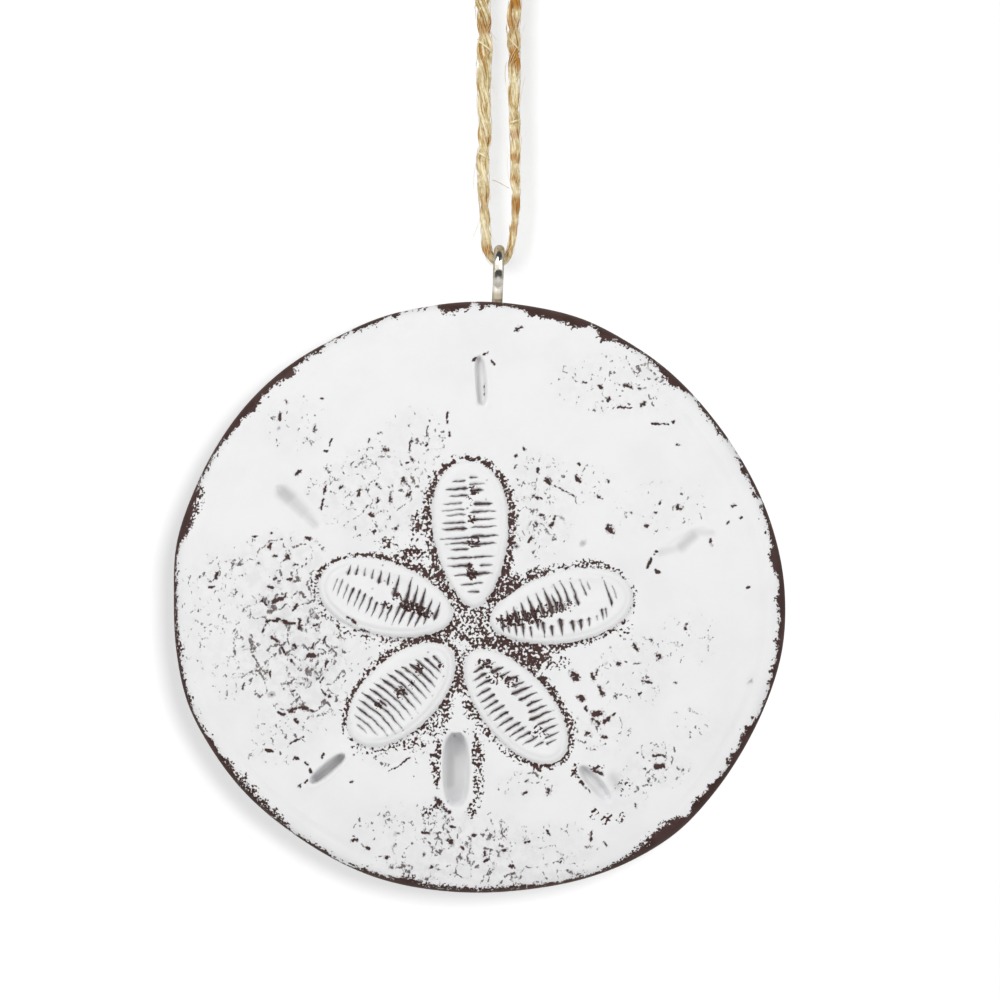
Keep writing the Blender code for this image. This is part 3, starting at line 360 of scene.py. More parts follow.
# How the lines of grooves and marks wobble: size, amount, seed
LINE_WOBBLES = ((1.1, 0.2, 1.5), (0.45, 0.14, 4.5))
# The share of that wobble in a petal's grooves, and how much wider than listed they are
GROOVE_WOBBLE = 0.45
GROOVE_SPREAD = 1.25
# The stipple round a petal: its strength, and where it fades, in shares of its width
BAND_STRENGTH = 1.03
BAND_FADE = (0.55, 1.1)
# The bare edge: the least solidity that shows, its spread, its least width and how softly it ends
EDGE_SOLIDITY = 0.3
EDGE_SPREAD = 1.25
EDGE_LEAST = 0.1
EDGE_SOFTNESS = 0.7
# How the bare edge goes over into paint down the side: by how much, from what height
SIDE_FADE = 1.3
SIDE_FADE_HEIGHT = 1.1
# The stipple that borders the bare edge: where it fades in shares of the edge's width, and its density
FRINGE_FADE = (0.6, 1.2)
FRINGE_DENSITY = (0.36, 0.5)
# How far from a feature the front's cells are halved
NEAR_FEATURES = (0.9, 0.25)
NEAR_GROOVES = 0.12

# The paint's noises, in blobs to a millimetre
SPECK_SCALE = 2.8
GRAIN_SCALE = 2.1
RAGGED_SCALE = 0.95
PORE_SCALE = 2.2
CHAIN_SCALE = 0.42
TOOTH_SCALE = 3.2
# Where a groove, a mark and the edge turn bare, and where the paint of the first two turns thin and grey;
# beside a groove that grey also stands as painted shade on its walls
CUT_BARE = (-0.12, 0.35)
CUT_THIN_AND_SHADE = (-1.05, -0.1)
CHIP_BARE = (-0.05, 0.35)
CHIP_THIN = (-0.7, 0.05)
EDGE_BARE = (-0.1, 0.14)
# How close a point has to be to a groove or a mark before its paint changes at all
BESIDE = (-1.0, -0.7)
# Further colours of the casting, the paint and the wire
WARM_BASE = (0.068, 0.036, 0.032)
COOL_PAINT = (0.775, 0.775, 0.785)
# The grey of thin paint, also used as painted shade
THIN_PAINT_AND_SHADE_COLOUR = (0.30, 0.285, 0.30)
TARNISH = (0.55, 0.47, 0.33)
# A painted reflection: a light colour for the down-facing lower ring and neck, which the lights leave dark
NECK_PAINTED_REFLECTION = (0.86, 0.83, 0.76)
SHANK_METAL = (0.50, 0.44, 0.33)
FOOT_METAL = (0.2, 0.15, 0.09)

# The screw eye, a bent wire seen edge-on from the front, leaning a little to the right
WIRE_RADIUS = 0.7
RING_RADIUS = 2.2
EYE_TOP = (0.15, -40.3)
EYE_LEAN = 2.5
RING_START = -60.0
RING_END = 250.0
RING_STEP = 5.0
BEND_STEPS = 8
NECK_DROP = 0.9
SHANK_DEPTH = 8.5
NECK_HEIGHT = -45.0
TIP_LENGTH = 2.0
TIP_SCALE = 0.35

# The twine's route: height, then the left and the right strand's place across, from the knot to the eye
TWINE_ROWS = (
    (-0.3, -1.05, 1.05), (-2.9, -1.58, 1.56), (-5.5, -1.97, 1.98), (-8.1, -2.13, 2.21),
    (-11.4, -1.93, 1.98), (-14.7, -1.80, 2.09), (-18.0, -1.96, 2.09), (-21.3, -1.93, 2.01),
    (-24.6, -1.83, 2.17), (-27.9, -1.96, 2.19), (-31.1, -2.01, 2.22), (-34.4, -1.88, 2.30),
    (-37.0, -1.72, 2.11), (-39.2, -1.64, 1.87), (-40.6, -1.50, 1.66), (-41.7, -1.12, 1.26),
    (-42.35, -0.55, 0.68),
)
TWINE_LOWEST = (0.06, -42.55)
TWINE_STEP = 0.45
# How wide the twine is: height, width of the left strand, width of the right strand
TWINE_WIDTHS = (
    (0.0, 1.9, 1.85), (-8.8, 2.15, 1.85), (-12.2, 1.95, 1.85), (-14.2, 2.25, 1.8), (-16.2, 1.98, 1.6),
    (-19.5, 1.85, 1.56), (-24.0, 1.85, 1.46), (-30.0, 1.8, 1.36), (-32.5, 1.62, 1.26), (-35.0, 1.4, 1.2),
    (-38.5, 1.32, 1.0), (-42.6, 1.22, 1.1),
)
LAY_LENGTH = 7.3
STRAND_LAY = 45.0
PLIES = 2
STRANDS_PER_PLY = 9
STRAND_RADIUS = 0.19
# A ply's distance from the twine's middle and its radius, in shares of the twine's width
PLY_OFFSET = 0.165
PLY_RADIUS = 0.335
# Fibres that lie close to the twine and those that stray: how many, reach, radius
LOOSE_FIBRES = (260, 0.2, 0.03)
STRAY_FIBRES = (26, 1.5, 0.022)
FIBRE_POINTS = 7
# Golden patches on the twine: place across, height, reach, strength
GOLD_PATCHES = (
    (-2.2, -11.8, 1.3, 0.8), (-1.5, -26.5, 0.7, 0.7), (-1.8, -34.7, 1.2, 0.5), (-1.25, -41.0, 0.9, 0.9),
    (2.7, -8.5, 1.1, 1.0), (1.8, -11.4, 1.2, 0.7), (2.55, -15.6, 1.9, 1.0), (1.9, -25.9, 0.8, 0.65),
    (2.1, -28.9, 0.8, 0.7), (1.7, -31.5, 0.8, 0.7), (2.4, -35.1, 1.5, 0.9), (2.2, -38.2, 0.8, 0.7),
    (0.85, -41.0, 0.9, 0.9),
)
# Bundles that cross the front of a strand: its side, height, rise to the right, radius
WRAPS = (
    (-1, -14.2, -1.9, 0.11), (-1, -28.6, -1.2, 0.13), (-1, -38.0, -2.0, 0.12), (1, -14.0, -2.2, 0.11),
    (1, -24.1, 0.5, 0.13), (1, -29.9, -1.6, 0.11),
)
WRAP_STEPS = 11
# A crossing bundle's turn in degrees and its distance from the twine's middle, in shares of its width
WRAP_TURN = 150.0
WRAP_REACH = 0.45
# A stray hair between the strands: place across, height, then its radius and how golden it is
STRAY_HAIR = ((-0.85, -31.8), (-0.1, -32.05), (0.7, -32.5), (1.4, -32.9))
HAIR_RADIUS = 0.055
HAIR_GOLD = 0.2

# The knot: two slanting turns and two tails that fray, and how wide the twine is in both
KNOT_HEIGHT = 2.3
KNOT_ENTRY = 1.05
TURN_RADIUS = 1.55
TURN_FLATNESS = 0.92
TURN_TILTS = (26.0, -30.0)
TURN_LIFTS = (-0.45, 0.45)
TURN_RISE = 0.5
TURN_STEPS = 24
TURN_WIDTH = 1.7
TAIL_WIDTH = 1.75
TAIL_FRAY = 0.5
TAILS = (
    ((-0.5, 0.0, 3.2), (-1.1, -0.4, 5.2), (-1.9, -0.7, 7.4), (-3.1, -0.6, 10.2)),
    ((0.5, 0.0, 3.2), (1.0, 0.5, 5.4), (1.6, 0.8, 8.0), (1.5, 0.6, 10.9)),
)

# The stage
BACKDROP_DEPTH = 10.0
BACKDROP_SIZE = 360.0
BACKDROP_COLOUR = (0.22, 0.22, 0.22)
BACKDROP_GLOW = 0.27
FLOOR_SIZE = 3000.0
FLOOR_HEIGHT = -330.0
FLOOR_COLOUR = (0.86, 0.86, 0.86)
# The lights that shape the ornament: place, size
KEY_LIGHT = ((-330.0, -450.0, 300.0), 300.0)
FILL_LIGHT = ((420.0, -560.0, 60.0), 500.0)
BACK_LIGHT = ((150.0, 700.0, 250.0), 600.0)
BACK_POWER = 2.0
# The lights that reach the backdrop alone: the shadow that each throws, place, power, size
SHADOW_LIGHTS = (
    ("casts_left", (175.0, -900.0, 30.0), 13.2, 190.0),
    ("casts_right", (-125.0, -900.0, -40.0), 11.8, 240.0),
)
# What bright wire mirrors of the room: place from straight down to straight up, brightness
ROOM_BANDS = (
    (0.0, 1.0), (0.012, 0.95), (0.03, 0.08), (0.29, 0.06),
    (0.36, 1.3), (0.76, 1.4), (0.82, 0.08), (1.0, 0.06),
)
# What it mirrors from behind the ornament: level, then steeply up or down
FAR_ROOM_LEVEL = (0.46, 0.45, 0.42)
FAR_ROOM_STEEP = (0.72, 0.68, 0.59)


class DiscSettings(bpy.types.PropertyGroup):
    paint: FloatVectorProperty(
        name="Paint", description="Colour of the white paint", subtype="COLOR", size=3,
        default=(0.80, 0.80, 0.80), min=0.0, max=1.0,
    )
    base: FloatVectorProperty(
        name="Base", description="Colour of the casting under the paint", subtype="COLOR", size=3,
        default=(0.048, 0.022, 0.019), min=0.0, max=1.0,
    )
    film: FloatProperty(
        name="Film", description="Thickness of the paint", unit="LENGTH",
        default=0.00005, min=0.0, max=0.001,
    )
    cells: IntProperty(
        name="Cells", description="Cells across the front before it is refined",
        default=GRID_CELLS, min=40, max=160,
    )


class TwineSettings(bpy.types.PropertyGroup):
    pale: FloatVectorProperty(
        name="Pale", description="Colour of the palest fibres", subtype="COLOR", size=3,
        default=(0.90, 0.80, 0.55), min=0.0, max=1.0,
    )
    tan: FloatVectorProperty(
        name="Tan", description="Colour of most fibres", subtype="COLOR", size=3,
        default=(0.56, 0.43, 0.18), min=0.0, max=1.0,
    )
    gold: FloatVectorProperty(
        name="Gold", description="Colour of the golden brown fibres", subtype="COLOR", size=3,
        default=(0.42, 0.175, 0.012), min=0.0, max=1.0,
    )
    strand: FloatProperty(
        name="Strand", description="Radius of one bundle of fibres", unit="LENGTH",
        default=STRAND_RADIUS * MM, min=0.00002, max=0.0005,
    )


class EyeSettings(bpy.types.PropertyGroup):
    metal: FloatVectorProperty(
        name="Metal", description="Colour of the plated wire", subtype="COLOR", size=3,
        default=(0.80, 0.77, 0.71), min=0.0, max=1.0,
    )
    wire: FloatProperty(
        name="Wire", description="Radius of the wire", unit="LENGTH",
        default=WIRE_RADIUS * MM, min=0.0002, max=0.002,
    )


class StageSettings(bpy.types.PropertyGroup):
    key: FloatProperty(
        name="Key", description="Power of the key light", unit="POWER", default=1.95, min=0.0,
    )
    fill: FloatProperty(
        name="Fill", description="Power of the fill light", unit="POWER", default=1.55, min=0.0,
    )
    ambient: FloatProperty(
        name="Ambient", description="Strength of the room light", default=0.495, min=0.0,
    )


SETTINGS = {
    "ornament_disc": DiscSettings,
    "ornament_twine": TwineSettings,
    "ornament_eye": EyeSettings,
    "ornament_stage": StageSettings,
}


def place_object(name, data, material=None):
    item = bpy.data.objects.new(name, data)
    bpy.context.scene.collection.objects.link(item)
    if material:
        data.materials.append(material)
    return item


def smooth_between(before, start, end, after, share):
    """A cubic through start and end, whose slopes come from the points on either side."""
    square, cube = share**2, share**3
    return 0.5 * (
        2.0 * start
        + (end - before) * share
        + (2.0 * before - 5.0 * start + 4.0 * end - after) * square
        + (3.0 * start - before - 3.0 * end + after) * cube
    )


def round_table(values, angles):
    """Values given at equal steps of a full turn, read smoothly at any angle."""
    values = np.asarray(values)
    steps = np.mod(angles, math.tau) / math.tau * len(values)
    index = np.floor(steps).astype(int)
    near = [values[(index + offset) % len(values)] for offset in (-1, 0, 1, 2)]
    return smooth_between(*near, steps - index)


def smooth_profile(knots, places):
    """A smooth line through knots (place, value), level beyond both ends."""
    across, values = np.array(knots, dtype=float).T
    slopes = np.gradient(values, across)
    slopes[0] = slopes[-1] = 0.0
    places = np.clip(places, across[0], across[-1])
    index = np.clip(np.searchsorted(across, places) - 1, 0, len(across) - 2)
    step = across[index + 1] - across[index]
    share = (places - across[index]) / step
    square, cube = share**2, share**3
    return (
        (2.0 * cube - 3.0 * square + 1.0) * values[index]
        + (cube - 2.0 * square + share) * step * slopes[index]
        + (3.0 * square - 2.0 * cube) * values[index + 1]
        + (cube - square) * step * slopes[index + 1]
    )


def smooth_step(low, high, values):
    share = np.clip((values - low) / (high - low), 0.0, 1.0)
    return share * share * (3.0 - 2.0 * share)


def noise_at(points, size, seed):
    """Smooth noise from -1 to 1 with blobs of that size."""
    return np.array([noise.noise(Vector((x / size, y / size, seed))) for x, y in points])


def rim_radius(angles):
    return round_table(RIM_RADII, angles) + round_table(RIM_DRIFT, angles)


def petal_frame(petal):
    """A petal's near end, its unit direction outwards, the direction to its left and its length."""
    near, far = np.array(petal[0]), np.array(petal[1])
    length = float(np.hypot(*(far - near)))
    axis = (far - near) / length
    return near, axis, np.array((-axis[1], axis[0])), length


def petal_outline(petal):
    near, axis, left, length = petal_frame(petal)
    turns = np.linspace(0.0, math.tau, OUTLINE_STEPS, endpoint=False)
    along = length / 2.0 * (1.0 - np.cos(turns))
    side = petal[2] / 2.0 * np.sin(turns) * (1.0 - petal[3] * np.cos(turns))
    return near + np.outer(along, axis) + np.outer(side, left)


def petal_places(petal, points):
    """For each point: along the petal, to its left, in from its outline, and the turn round it."""
    near, axis, left, length = petal_frame(petal)
    along = (points - near) @ axis
    side = (points - near) @ left
    cosine = (length / 2.0 - along) / (length / 2.0)
    breadth = petal[2] / 2.0 * np.maximum(1.0 - petal[3] * cosine, 0.2)
    outline = petal_outline(petal)
    gaps = np.empty(len(points))
    for index in range(0, len(points), 4096):
        part = points[index:index + 4096, None, :] - outline[None, :, :]
        gaps[index:index + 4096] = np.sqrt((part**2).sum(axis=2)).min(axis=1)
    inside = cosine**2 + (side / breadth) ** 2 < 1.0
    turn = np.arctan2(side / breadth, cosine)
    return along, side, np.where(inside, gaps, -gaps), turn


def groove_closeness(name, along, side):
    """How far inside a groove each point is, in shares of its half width, and how bare that groove is."""
    lean, bow, narrowing = COMBS[name]
    best = np.full(len(along), -1.0)
    bareness = np.zeros(len(along))
    for place, start, end, half, bare in GROOVES[name]:
        share = (side - start) / (end - start)
        width = GROOVE_SPREAD * half * smooth_step(-0.08, 0.14, share)
        width = width * (1.0 - smooth_step(0.8, 1.25, share))
        width = width * (1.0 - narrowing * np.clip(share, 0.0, 1.0)) + 1e-4
        line = place + math.tan(math.radians(lean)) * side + bow * side**2
        closeness = np.clip(1.0 - np.abs(along - line) / width, -1.0, 1.0)
        better = closeness > best
        best = np.where(better, closeness, best)
        bareness = np.where(better, bare * (1.15 - 0.5 * np.clip(share, 0.0, 1.0)), bareness)
    return best, bareness


def stroke_closeness(points, stroke):
    """How far inside a rounded stroke each point is: 1 on its line, 0 on its outline."""
    across, up, length, width, angle = stroke
    turn = math.radians(angle)
    axis = np.array((math.cos(turn), math.sin(turn)))
    offset = points - (across, up)
    along = np.clip(offset @ axis, -(length - width) / 2.0, (length - width) / 2.0)
    gap = np.hypot(*(offset - np.outer(along, axis)).T)
    return np.clip(1.0 - gap / (width / 2.0), -1.0, 1.0)


def blot_density(points, blots):
    """The density of soft oval blots, the densest one where they overlap."""
    total = np.zeros(len(points))
    for across, up, half_across, half_up, density in blots:
        spread = ((points[:, 0] - across) / half_across) ** 2 + ((points[:, 1] - up) / half_up) ** 2
        total = np.maximum(total, density * (1.0 - smooth_step(0.45, 1.6, spread)))
    return total


def oval_reach(points, centre, length, width, angle):
    """Where each point is in a squarish oval: 0 in its centre, 1 on its outline."""
    turn = math.radians(angle)
    axis, across = np.array((math.cos(turn), math.sin(turn))), np.array((-math.sin(turn), math.cos(turn)))
    along = np.abs((points - centre) @ axis) * 2.0 / length
    aside = np.abs((points - centre) @ across) * 2.0 / width
    return (along**SLOT_SQUARENESS + aside**SLOT_SQUARENESS) ** (1.0 / SLOT_SQUARENESS)


def slot_reach(points, slot):
    """How deep a slot is at each point, its lip taken off, and how clean the paint round it is."""
    mouth, length, width, floor, floor_length, floor_width, angle, depth = slot
    outer = oval_reach(points, mouth, length, width, angle)
    inner = oval_reach(points, floor, floor_length, floor_width, angle)
    down = np.maximum(1.0 - outer, 0.0) * width
    share = down / (down + np.maximum(inner - 1.0, 0.0) * floor_width + 1e-6)
    lip = LIP_HEIGHT * min(depth, 1.0) * np.exp(-((outer - 1.15) / 0.16) ** 2)
    drop = depth * smooth_step(0.1, 1.0, share) * (outer < 1.0)
    return drop - lip, 1.0 - smooth_step(1.08, 1.2, outer)


def warped(points, size, amount, seed):
    """The same points, each moved a little by smooth noise."""
    across, up = noise_at(points, size, seed), noise_at(points, size, seed + 9.0)
    return points + amount * np.stack([across, up], axis=1)


def near_features(points, reach):
    """True where a petal's outline, a slot or a mark is within reach."""
    hit = np.zeros(len(points), dtype=bool)
    for petal in PETALS.values():
        hit |= petal_places(petal, points)[2] > -reach
    for slot in SLOTS.values():
        hit |= stroke_closeness(points, (*slot[0], slot[1] + 2 * reach, slot[2] + 2 * reach, slot[6])) > 0.0
    for across, up, length, width, angle in MARKS:
        grown = (across, up, length + 2 * reach, width + 2 * reach, angle)
        hit |= stroke_closeness(points, grown) > 0.0
    return hit


def near_grooves(points, reach):
    """True where a groove is within reach."""
    hit = np.zeros(len(points), dtype=bool)
    for name, petal in PETALS.items():
        along, side, _, _ = petal_places(petal, points)
        lean, bow, _ = COMBS[name]
        for place, start, end, half, _ in GROOVES[name]:
            line = place + math.tan(math.radians(lean)) * side + bow * side**2
            level = (side > min(start, end) - reach) & (side < max(start, end) + reach)
            hit |= level & (np.abs(along - line) < half + reach)
    return hit


def refine(bm, wanted, reach):
    """Halves the cells where wanted."""
    centres = np.array([face.calc_center_median()[:2] for face in bm.faces])
    hits = wanted(centres, reach)
    edges = dict.fromkeys(edge for face, hit in zip(bm.faces, hits) if hit for edge in face.edges)
    bmesh.ops.subdivide_edges(bm, edges=list(edges), cuts=1, use_grid_fill=True)


def disc_blank(cells):
    """A round sheet of cells, refined near its features, with a turned edge and back."""
    bm = bmesh.new()
    bmesh.ops.create_grid(bm, x_segments=cells, y_segments=cells, size=1.0)
    for vert in bm.verts:
        across, up = vert.co.x, vert.co.y
        across, up = across * math.sqrt(1.0 - up * up / 2.0), up * math.sqrt(1.0 - across * across / 2.0)
        reach = float(rim_radius(math.atan2(up, across))) - FRONT_INSET
        vert.co = (across * reach, up * reach, 0.0)
    for reach in NEAR_FEATURES:
        refine(bm, near_features, reach)
    refine(bm, near_grooves, NEAR_GROOVES)
    front_count = len(bm.verts)
    edges = [edge for edge in bm.edges if edge.is_boundary]
    rings = EDGE_RINGS + tuple((inset, -BACK_DEPTH) for inset in BACK_RINGS)
    for inset, height in rings:
        made = bmesh.ops.extrude_edge_only(bm, edges=edges)["geom"]
        ring = [item for item in made if isinstance(item, bmesh.types.BMVert)]
        edges = [item for item in made if isinstance(item, bmesh.types.BMEdge) and item.is_boundary]
        for vert in ring:
            angle = math.atan2(vert.co.y, vert.co.x)
            reach = float(rim_radius(angle)) - inset
            vert.co = (reach * math.cos(angle), reach * math.sin(angle), height)
    bmesh.ops.pointmerge(bm, verts=ring, merge_co=(0.0, 0.0, -BACK_DEPTH))
    return bm, front_count


def rim_wear(angles, inset, heights, front):
    """How bare the edge is at each point, and how dense the stipple that borders it is."""
    degrees, widths, solid = np.array(WORN_EDGE, dtype=float).T
    turn = np.degrees(angles) % 360.0
    width = np.interp(turn, degrees, widths, period=360.0)
    solid = np.interp(turn, degrees, solid, period=360.0)
    bare = width * np.maximum(solid - EDGE_SOLIDITY, 0.0) * EDGE_SPREAD + EDGE_LEAST * (width > 0.2)
    edge = np.clip((bare - inset) / EDGE_SOFTNESS, -4.0, 1.0)
    down = np.clip((SIDE_FADE_HEIGHT - heights) / SIDE_FADE_HEIGHT, 0.0, 1.0)
    edge = np.where(front, edge, edge - SIDE_FADE * down)
    fringe = 1.0 - smooth_step(*FRINGE_FADE, inset / np.maximum(width, 0.05))
    return edge, (FRINGE_DENSITY[0] + FRINGE_DENSITY[1] * solid) * fringe * (width > 0.15)


def paint_disc(points, heights, front_count):
    """The relief of the front, where paint is missing and where shade is painted into creases and slots,
    from the petals, grooves, slots and marks.
    """
    angles = np.arctan2(points[:, 1], points[:, 0])
    inset = rim_radius(angles) - np.hypot(*points.T)
    front = np.arange(len(points)) < front_count
    share = np.hypot(*points.T) / rim_radius(angles)
    dome = EDGE_HEIGHT + (CROWN_HEIGHT - EDGE_HEIGHT) * (1.0 - share**2)
    relief = dome - ROLL_DEPTH * np.exp(-inset / ROLL_WIDTH)
    relief += sum(depth * noise_at(points, size, seed) for depth, size, seed in SURFACE_WAVES)
    wavy = points
    for wobble in LINE_WOBBLES:
        wavy = warped(wavy, *wobble)
    grooved = np.full(len(points), -1.0)
    painted_shade = np.zeros(len(points))
    stipple = blot_density(points, STIPPLE_BLOTS)
    flecks = blot_density(points, FLECKS)
    for name, petal in PETALS.items():
        along, side, depth_in, turn = petal_places(petal, points)
        relief += smooth_profile(PETAL_SECTION, depth_in)
        middle, strength = PETAL_CREASES[name]
        crease = np.exp(-((depth_in - CREASE_INSET) / 0.2) ** 2)
        crease *= strength * smooth_step(-0.5, 0.5, np.cos(turn - math.radians(middle)))
        relief -= CREASE_DEPTH * crease
        # Painted shade: the crease is greyed as if in shadow
        painted_shade = np.maximum(painted_shade, CREASE_SHADE * crease)
        along, side = petal_places(petal, points + (wavy - points) * GROOVE_WOBBLE)[:2]
        closeness, bareness = groove_closeness(name, along, side)
        relief -= GROOVE_DEPTH * smooth_step(-0.95, 0.8, closeness) * (0.65 + 0.35 * bareness)
        grooved = np.maximum(grooved, np.where(closeness > -1.0, closeness + 0.8 * bareness - 0.8, -1.0))
        density, width = np.array(PETAL_STIPPLE[name]).T
        beyond = -depth_in / round_table(width, turn)
        band = BAND_STRENGTH * round_table(density, turn) * (1.0 - smooth_step(*BAND_FADE, beyond))
        stipple = np.maximum(stipple, band * (depth_in < 0.6))
        inner = smooth_step(-0.12, 0.12, depth_in)
        stipple *= 1.0 - inner
        flecks *= 1.0 - inner
    stipple = np.maximum(stipple, blot_density(points, GROOVE_BLOTS))
    for slot in SLOTS.values():
        drop, mouth = slot_reach(points, slot)
        relief -= drop
        stipple *= 1.0 - mouth
        flecks *= 1.0 - mouth
    marks = np.full(len(points), -1.0)
    for mark in MARKS:
        marks = np.maximum(marks, stroke_closeness(wavy, mark))
    # Painted shade: the slots' grey veils
    for *stroke, amount in PAINTED_SLOT_SHADE:
        painted_shade = np.maximum(painted_shade, amount * smooth_step(-0.9, 0.9, stroke_closeness(points, stroke)))
    edge, fringe = rim_wear(angles, inset, heights, front)
    stipple = np.maximum(stipple, fringe)
    behind = ~front & (heights < 0.0)
    edge = np.where(behind, SIDE_WEAR - 1.6 * np.clip(inset, 0.0, 3.0), edge)
    stipple = np.where(behind, 0.0, stipple)
    flecks = np.where(behind, BACK_FLECKS, flecks)
    for values in (grooved, marks):
        values[~front] = -1.0
    painted_shade[~front] = 0.0
    relief = np.where(front, relief, heights)
    layers = {
        "grooved": grooved, "marks": marks, "stipple": stipple, "flecks": flecks, "edge": edge, "painted_shade": painted_shade,
    }
    return relief, layers


class TreeBuilder:
    """Adds nodes to a tree; an input is a value or the output that feeds it."""

    def __init__(self, tree):
        self.tree = tree

    def add(self, kind, inputs=None, **settings):
        node = self.tree.nodes.new(f"ShaderNode{kind}")
        for key, value in settings.items():
            setattr(node, key, value)
        for key, value in (inputs or {}).items():
            socket = node.inputs[key]
            if isinstance(value, bpy.types.NodeSocket):
                self.tree.links.new(value, socket)
            else:
                socket.default_value = value
        return node

    def math(self, operation, *values, clamp=False):
        inputs = dict(enumerate(values))
        return self.add("Math", inputs, operation=operation, use_clamp=clamp).outputs[0]

    def scaled(self, value, factor):
        return self.math("MULTIPLY", value, factor)

    def swing(self, value, amount):
        """A noise from 0 to 1 as a swing of that amount about 0."""
        return self.math("MULTIPLY_ADD", value, amount, -amount / 2.0)

    def most(self, first, *others):
        """The largest of several values."""
        for other in others:
            first = self.math("MAXIMUM", first, other)
        return first

    def ramp(self, value, low, high, start=0.0, end=1.0):
        inputs = {"Value": value, "From Min": low, "From Max": high, "To Min": start, "To Max": end}
        return self.add("MapRange", inputs, interpolation_type="SMOOTHSTEP").outputs["Result"]

    def mix(self, factor, first, second):
        node = self.add("Mix", {"Factor": factor}, data_type="RGBA")
        for socket, value in ((node.inputs[6], first), (node.inputs[7], second)):
            if isinstance(value, bpy.types.NodeSocket):
                self.tree.links.new(value, socket)
            else:
                socket.default_value = (*value, 1.0)
        return node.outputs[2]

    def noise(self, vector, scale, detail=2.0, roughness=0.5, distortion=0.0):
        inputs = {
            "Vector": vector, "Scale": scale, "Detail": detail, "Roughness": roughness,
            "Distortion": distortion,
        }
        return self.add("TexNoise", inputs).outputs["Fac"]

    def attribute(self, name, output="Fac"):
        return self.add("Attribute", attribute_name=name).outputs[output]

    def place(self, scale=(1.0, 1.0, 1.0), angle=0.0):
        """The object's own coordinates in millimetres, turned about the depth axis."""
        coords = self.add("TexCoord").outputs["Object"]
        inputs = {
            "Vector": coords, "Scale": tuple(part / MM for part in scale), "Rotation": (0.0, angle, 0.0),
        }
        return self.add("Mapping", inputs).outputs["Vector"]


def new_group(name, inputs, outputs):
    tree = bpy.data.node_groups.new(name, "ShaderNodeTree")
    for label, kind in inputs.items():
        tree.interface.new_socket(name=label, in_out="INPUT", socket_type=f"NodeSocket{kind}")
    for label, kind in outputs.items():
        tree.interface.new_socket(name=label, in_out="OUTPUT", socket_type=f"NodeSocket{kind}")
    return tree, tree.nodes.new("NodeGroupInput").outputs, tree.nodes.new("NodeGroupOutput").inputs


def threshold_group():
    """Turns a density into ragged patches of a pattern: 0 gives none, 1 covers everything."""
    inputs = {"Density": "Float", "Pattern": "Float", "Softness": "Float"}
    tree, given, result = new_group("ragged patches", inputs, {"Mask": "Float"})
    build = TreeBuilder(tree)
    level = build.math("MULTIPLY_ADD", given["Density"], 0.23, 0.38)
    floor = build.ramp(given["Density"], 0.0, 0.10, -0.3, 0.0)
    gap = build.math("SUBTRACT", build.math("ADD", level, floor), given["Pattern"])
    soft = given["Softness"]
    tree.links.new(build.ramp(gap, build.math("MULTIPLY", soft, -1.0), soft), result["Mask"])
    return tree


def new_material(name):
    material = bpy.data.materials.new(name)
    material.use_nodes = True
    return material, TreeBuilder(material.node_tree), material.node_tree.nodes["Principled BSDF"]


